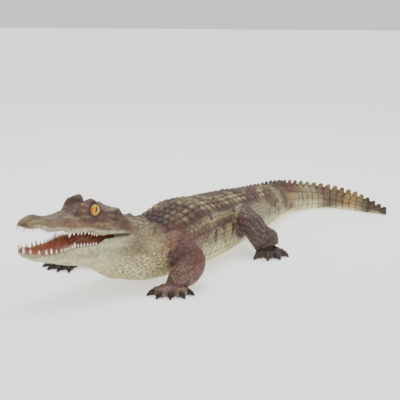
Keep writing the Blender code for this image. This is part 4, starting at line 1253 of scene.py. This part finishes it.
def eyePiece(name, eye):
    # sphere turned to its line of sight; angles from that line give the iris, the slit and the flushed white
    rows, columns = detail["eye"]
    centre, radius, iris = eye["centre"], eye["radius"], eyePaint["irisAngle"]
    polar = np.linspace(0, math.pi, rows)[1:-1, None]
    turn = fullTurn(columns)[None]
    x, y, z = np.sin(polar) * np.cos(turn), np.sin(polar) * np.sin(turn), np.cos(polar) + 0 * turn
    ball = x[..., None] * eye["side"] + y[..., None] * eye["up"] + z[..., None] * eye["look"]
    front, rear = centre + radius * eye["look"], centre - radius * eye["look"]
    points, triangles = ringSolid(centre + radius * ball, front, rear)
    local = (points - centre) / radius
    wide, tall, out = local @ eye["side"], local @ eye["up"], local @ eye["look"]
    away = np.arccos(np.clip(out, -1, 1))
    fibre = softNoise(np.stack([np.arctan2(tall, wide) * 1.6, away * 0.5, 0 * away], -1), 0.22, 91)
    colour = np.tile(linear(eyePaint["white"]), (len(points), 1))

    def lay(code, amount):
        return colour + np.clip(amount, 0, 1)[:, None] * (linear(code) - colour)

    colour = lay(eyePaint["flush"], 0.75 * ramp(1.35, 0.95, away))
    colour = lay(eyePaint["iris"], ramp(iris + 0.05, iris - 0.03, away))
    colour = lay(eyePaint["irisRim"], (0.55 * bump(away, iris - 0.06, 0.16) + 0.25 * fibre) * (away < iris))
    ahead = wide * np.sign(eye["side"] @ headAxes(headForm["tilt"])[0])
    colour = lay(eyePaint["flush"], 0.8 * ramp(0.32, 0.66, ahead - 0.35 * tall) * (away < 1.2))
    slit = ((ahead + eyePaint["pupilBack"]) / eyePaint["pupilWide"]) ** 2
    slit = slit + (tall / eyePaint["pupilTall"]) ** 2
    colour = lay(eyePaint["pupil"], ramp(1.25, 0.85, slit) * (out > 0))
    colour = lay(eyePaint["edge"], ramp(1.30, 1.50, away))
    piece = meshObject(name, points, triangles)
    setPaint(piece, colour)
    return piece


def studio():
    # flat white floor that glows a little, soft lamps, and the camera at the photograph's place
    reach = (-lighting["reach"], lighting["reach"])
    floorPoints = np.array([[a, b, -0.0005] for a in reach for b in reach])
    floor = meshObject("studioFloor", floorPoints, np.array([[0, 2, 3], [0, 3, 1]]), smooth=False)
    material, tree, shader = newMaterial("paperFloor")
    shader.inputs["Base Color"].default_value = (*linear(lighting["paper"]), 1.0)
    shader.inputs["Roughness"].default_value = 0.9
    shader.inputs["Emission Color"].default_value = (1.0, 1.0, 1.0, 1.0)
    shader.inputs["Emission Strength"].default_value = lighting["glow"]
    floor.data.materials.append(material)
    world = bpy.data.worlds.new("studio")
    world.use_nodes = True
    world.node_tree.nodes["Background"].inputs["Color"].default_value = (1.0, 1.0, 1.0, 1.0)
    world.node_tree.nodes["Background"].inputs["Strength"].default_value = lighting["world"]
    bpy.context.scene.world = world
    for name, place, size, watts in lighting["lamps"]:
        lamp = bpy.data.lights.new(name, "AREA")
        lamp.size = size
        lamp.energy = watts
        holder = bpy.data.objects.new(name, lamp)
        gaze = np.array(lighting["aim"]) - np.array(place)
        tilt = math.acos(gaze[2] / np.linalg.norm(gaze)) - math.pi
        holder.location = place
        holder.rotation_euler = (tilt, 0.0, math.atan2(gaze[1], gaze[0]) - math.pi / 2)
        bpy.context.scene.collection.objects.link(holder)
    lens = bpy.data.cameras.new("photoCamera")
    lens.lens = viewpoint["lens"]
    lens.sensor_width = viewpoint["sensor"]
    camera = bpy.data.objects.new("photoCamera", lens)
    camera.location = viewpoint["place"]
    camera.rotation_euler = [math.radians(v) for v in viewpoint["turn"]]
    bpy.context.scene.collection.objects.link(camera)
    bpy.context.scene.camera = camera


# Lamps: name, place, size and power.
lighting = {
    "reach": 40.0, "paper": "f4f4f2", "glow": 0.70, "world": 0.95, "aim": (-0.05, 0.0, 0.1),
    "lamps": [
        ("key", (-1.6, -1.9, 2.2), 1.0, 56.0),
        ("fill", (-2.4, 0.9, 1.2), 1.8, 8.0),
        ("top", (0.4, 0.3, 2.6), 1.6, 44.0),
    ],
}
viewpoint = {"place": (-1.810, -1.007, 0.614), "turn": (77.21, 0.0, -60.68), "lens": 72.0, "sensor": 36.0}


def finishPiece(piece, material):
    piece.data.materials.clear()
    piece.data.materials.append(material)
    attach(piece, "root")


skin = skinPiece()
finishPiece(skin, paintedResin())
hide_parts("crocodile")

enamel = ivoryEnamel()
for name, rows, width, lip, tilt, down in (
    ("upperTeeth", teeth["upper"], "width", "lip", headForm["tilt"], -1),
    ("lowerTeeth", teeth["lower"], "jawWidth", "jawLip", headForm["jawTilt"], 1),
):
    finishPiece(toothPiece(name, rows, width, lip, tilt, down), enamel)
print("teeth set")

points, triangles = joined([clawSolid(*toe) for limb in limbs.values() for toe in toesOf(limb)])
claws = meshObject("claws", withinBox(points), triangles)
finishPiece(claws, hornLacquer())
print("claws set")

gloss = glassyEye()
for nodeName, eye in eyes.items():
    ball = eyePiece(nodeName.replace("_eye", "Eye"), eye)
    finishPiece(ball, gloss)
    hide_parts(nodeName)
print("eyes set")

studio()
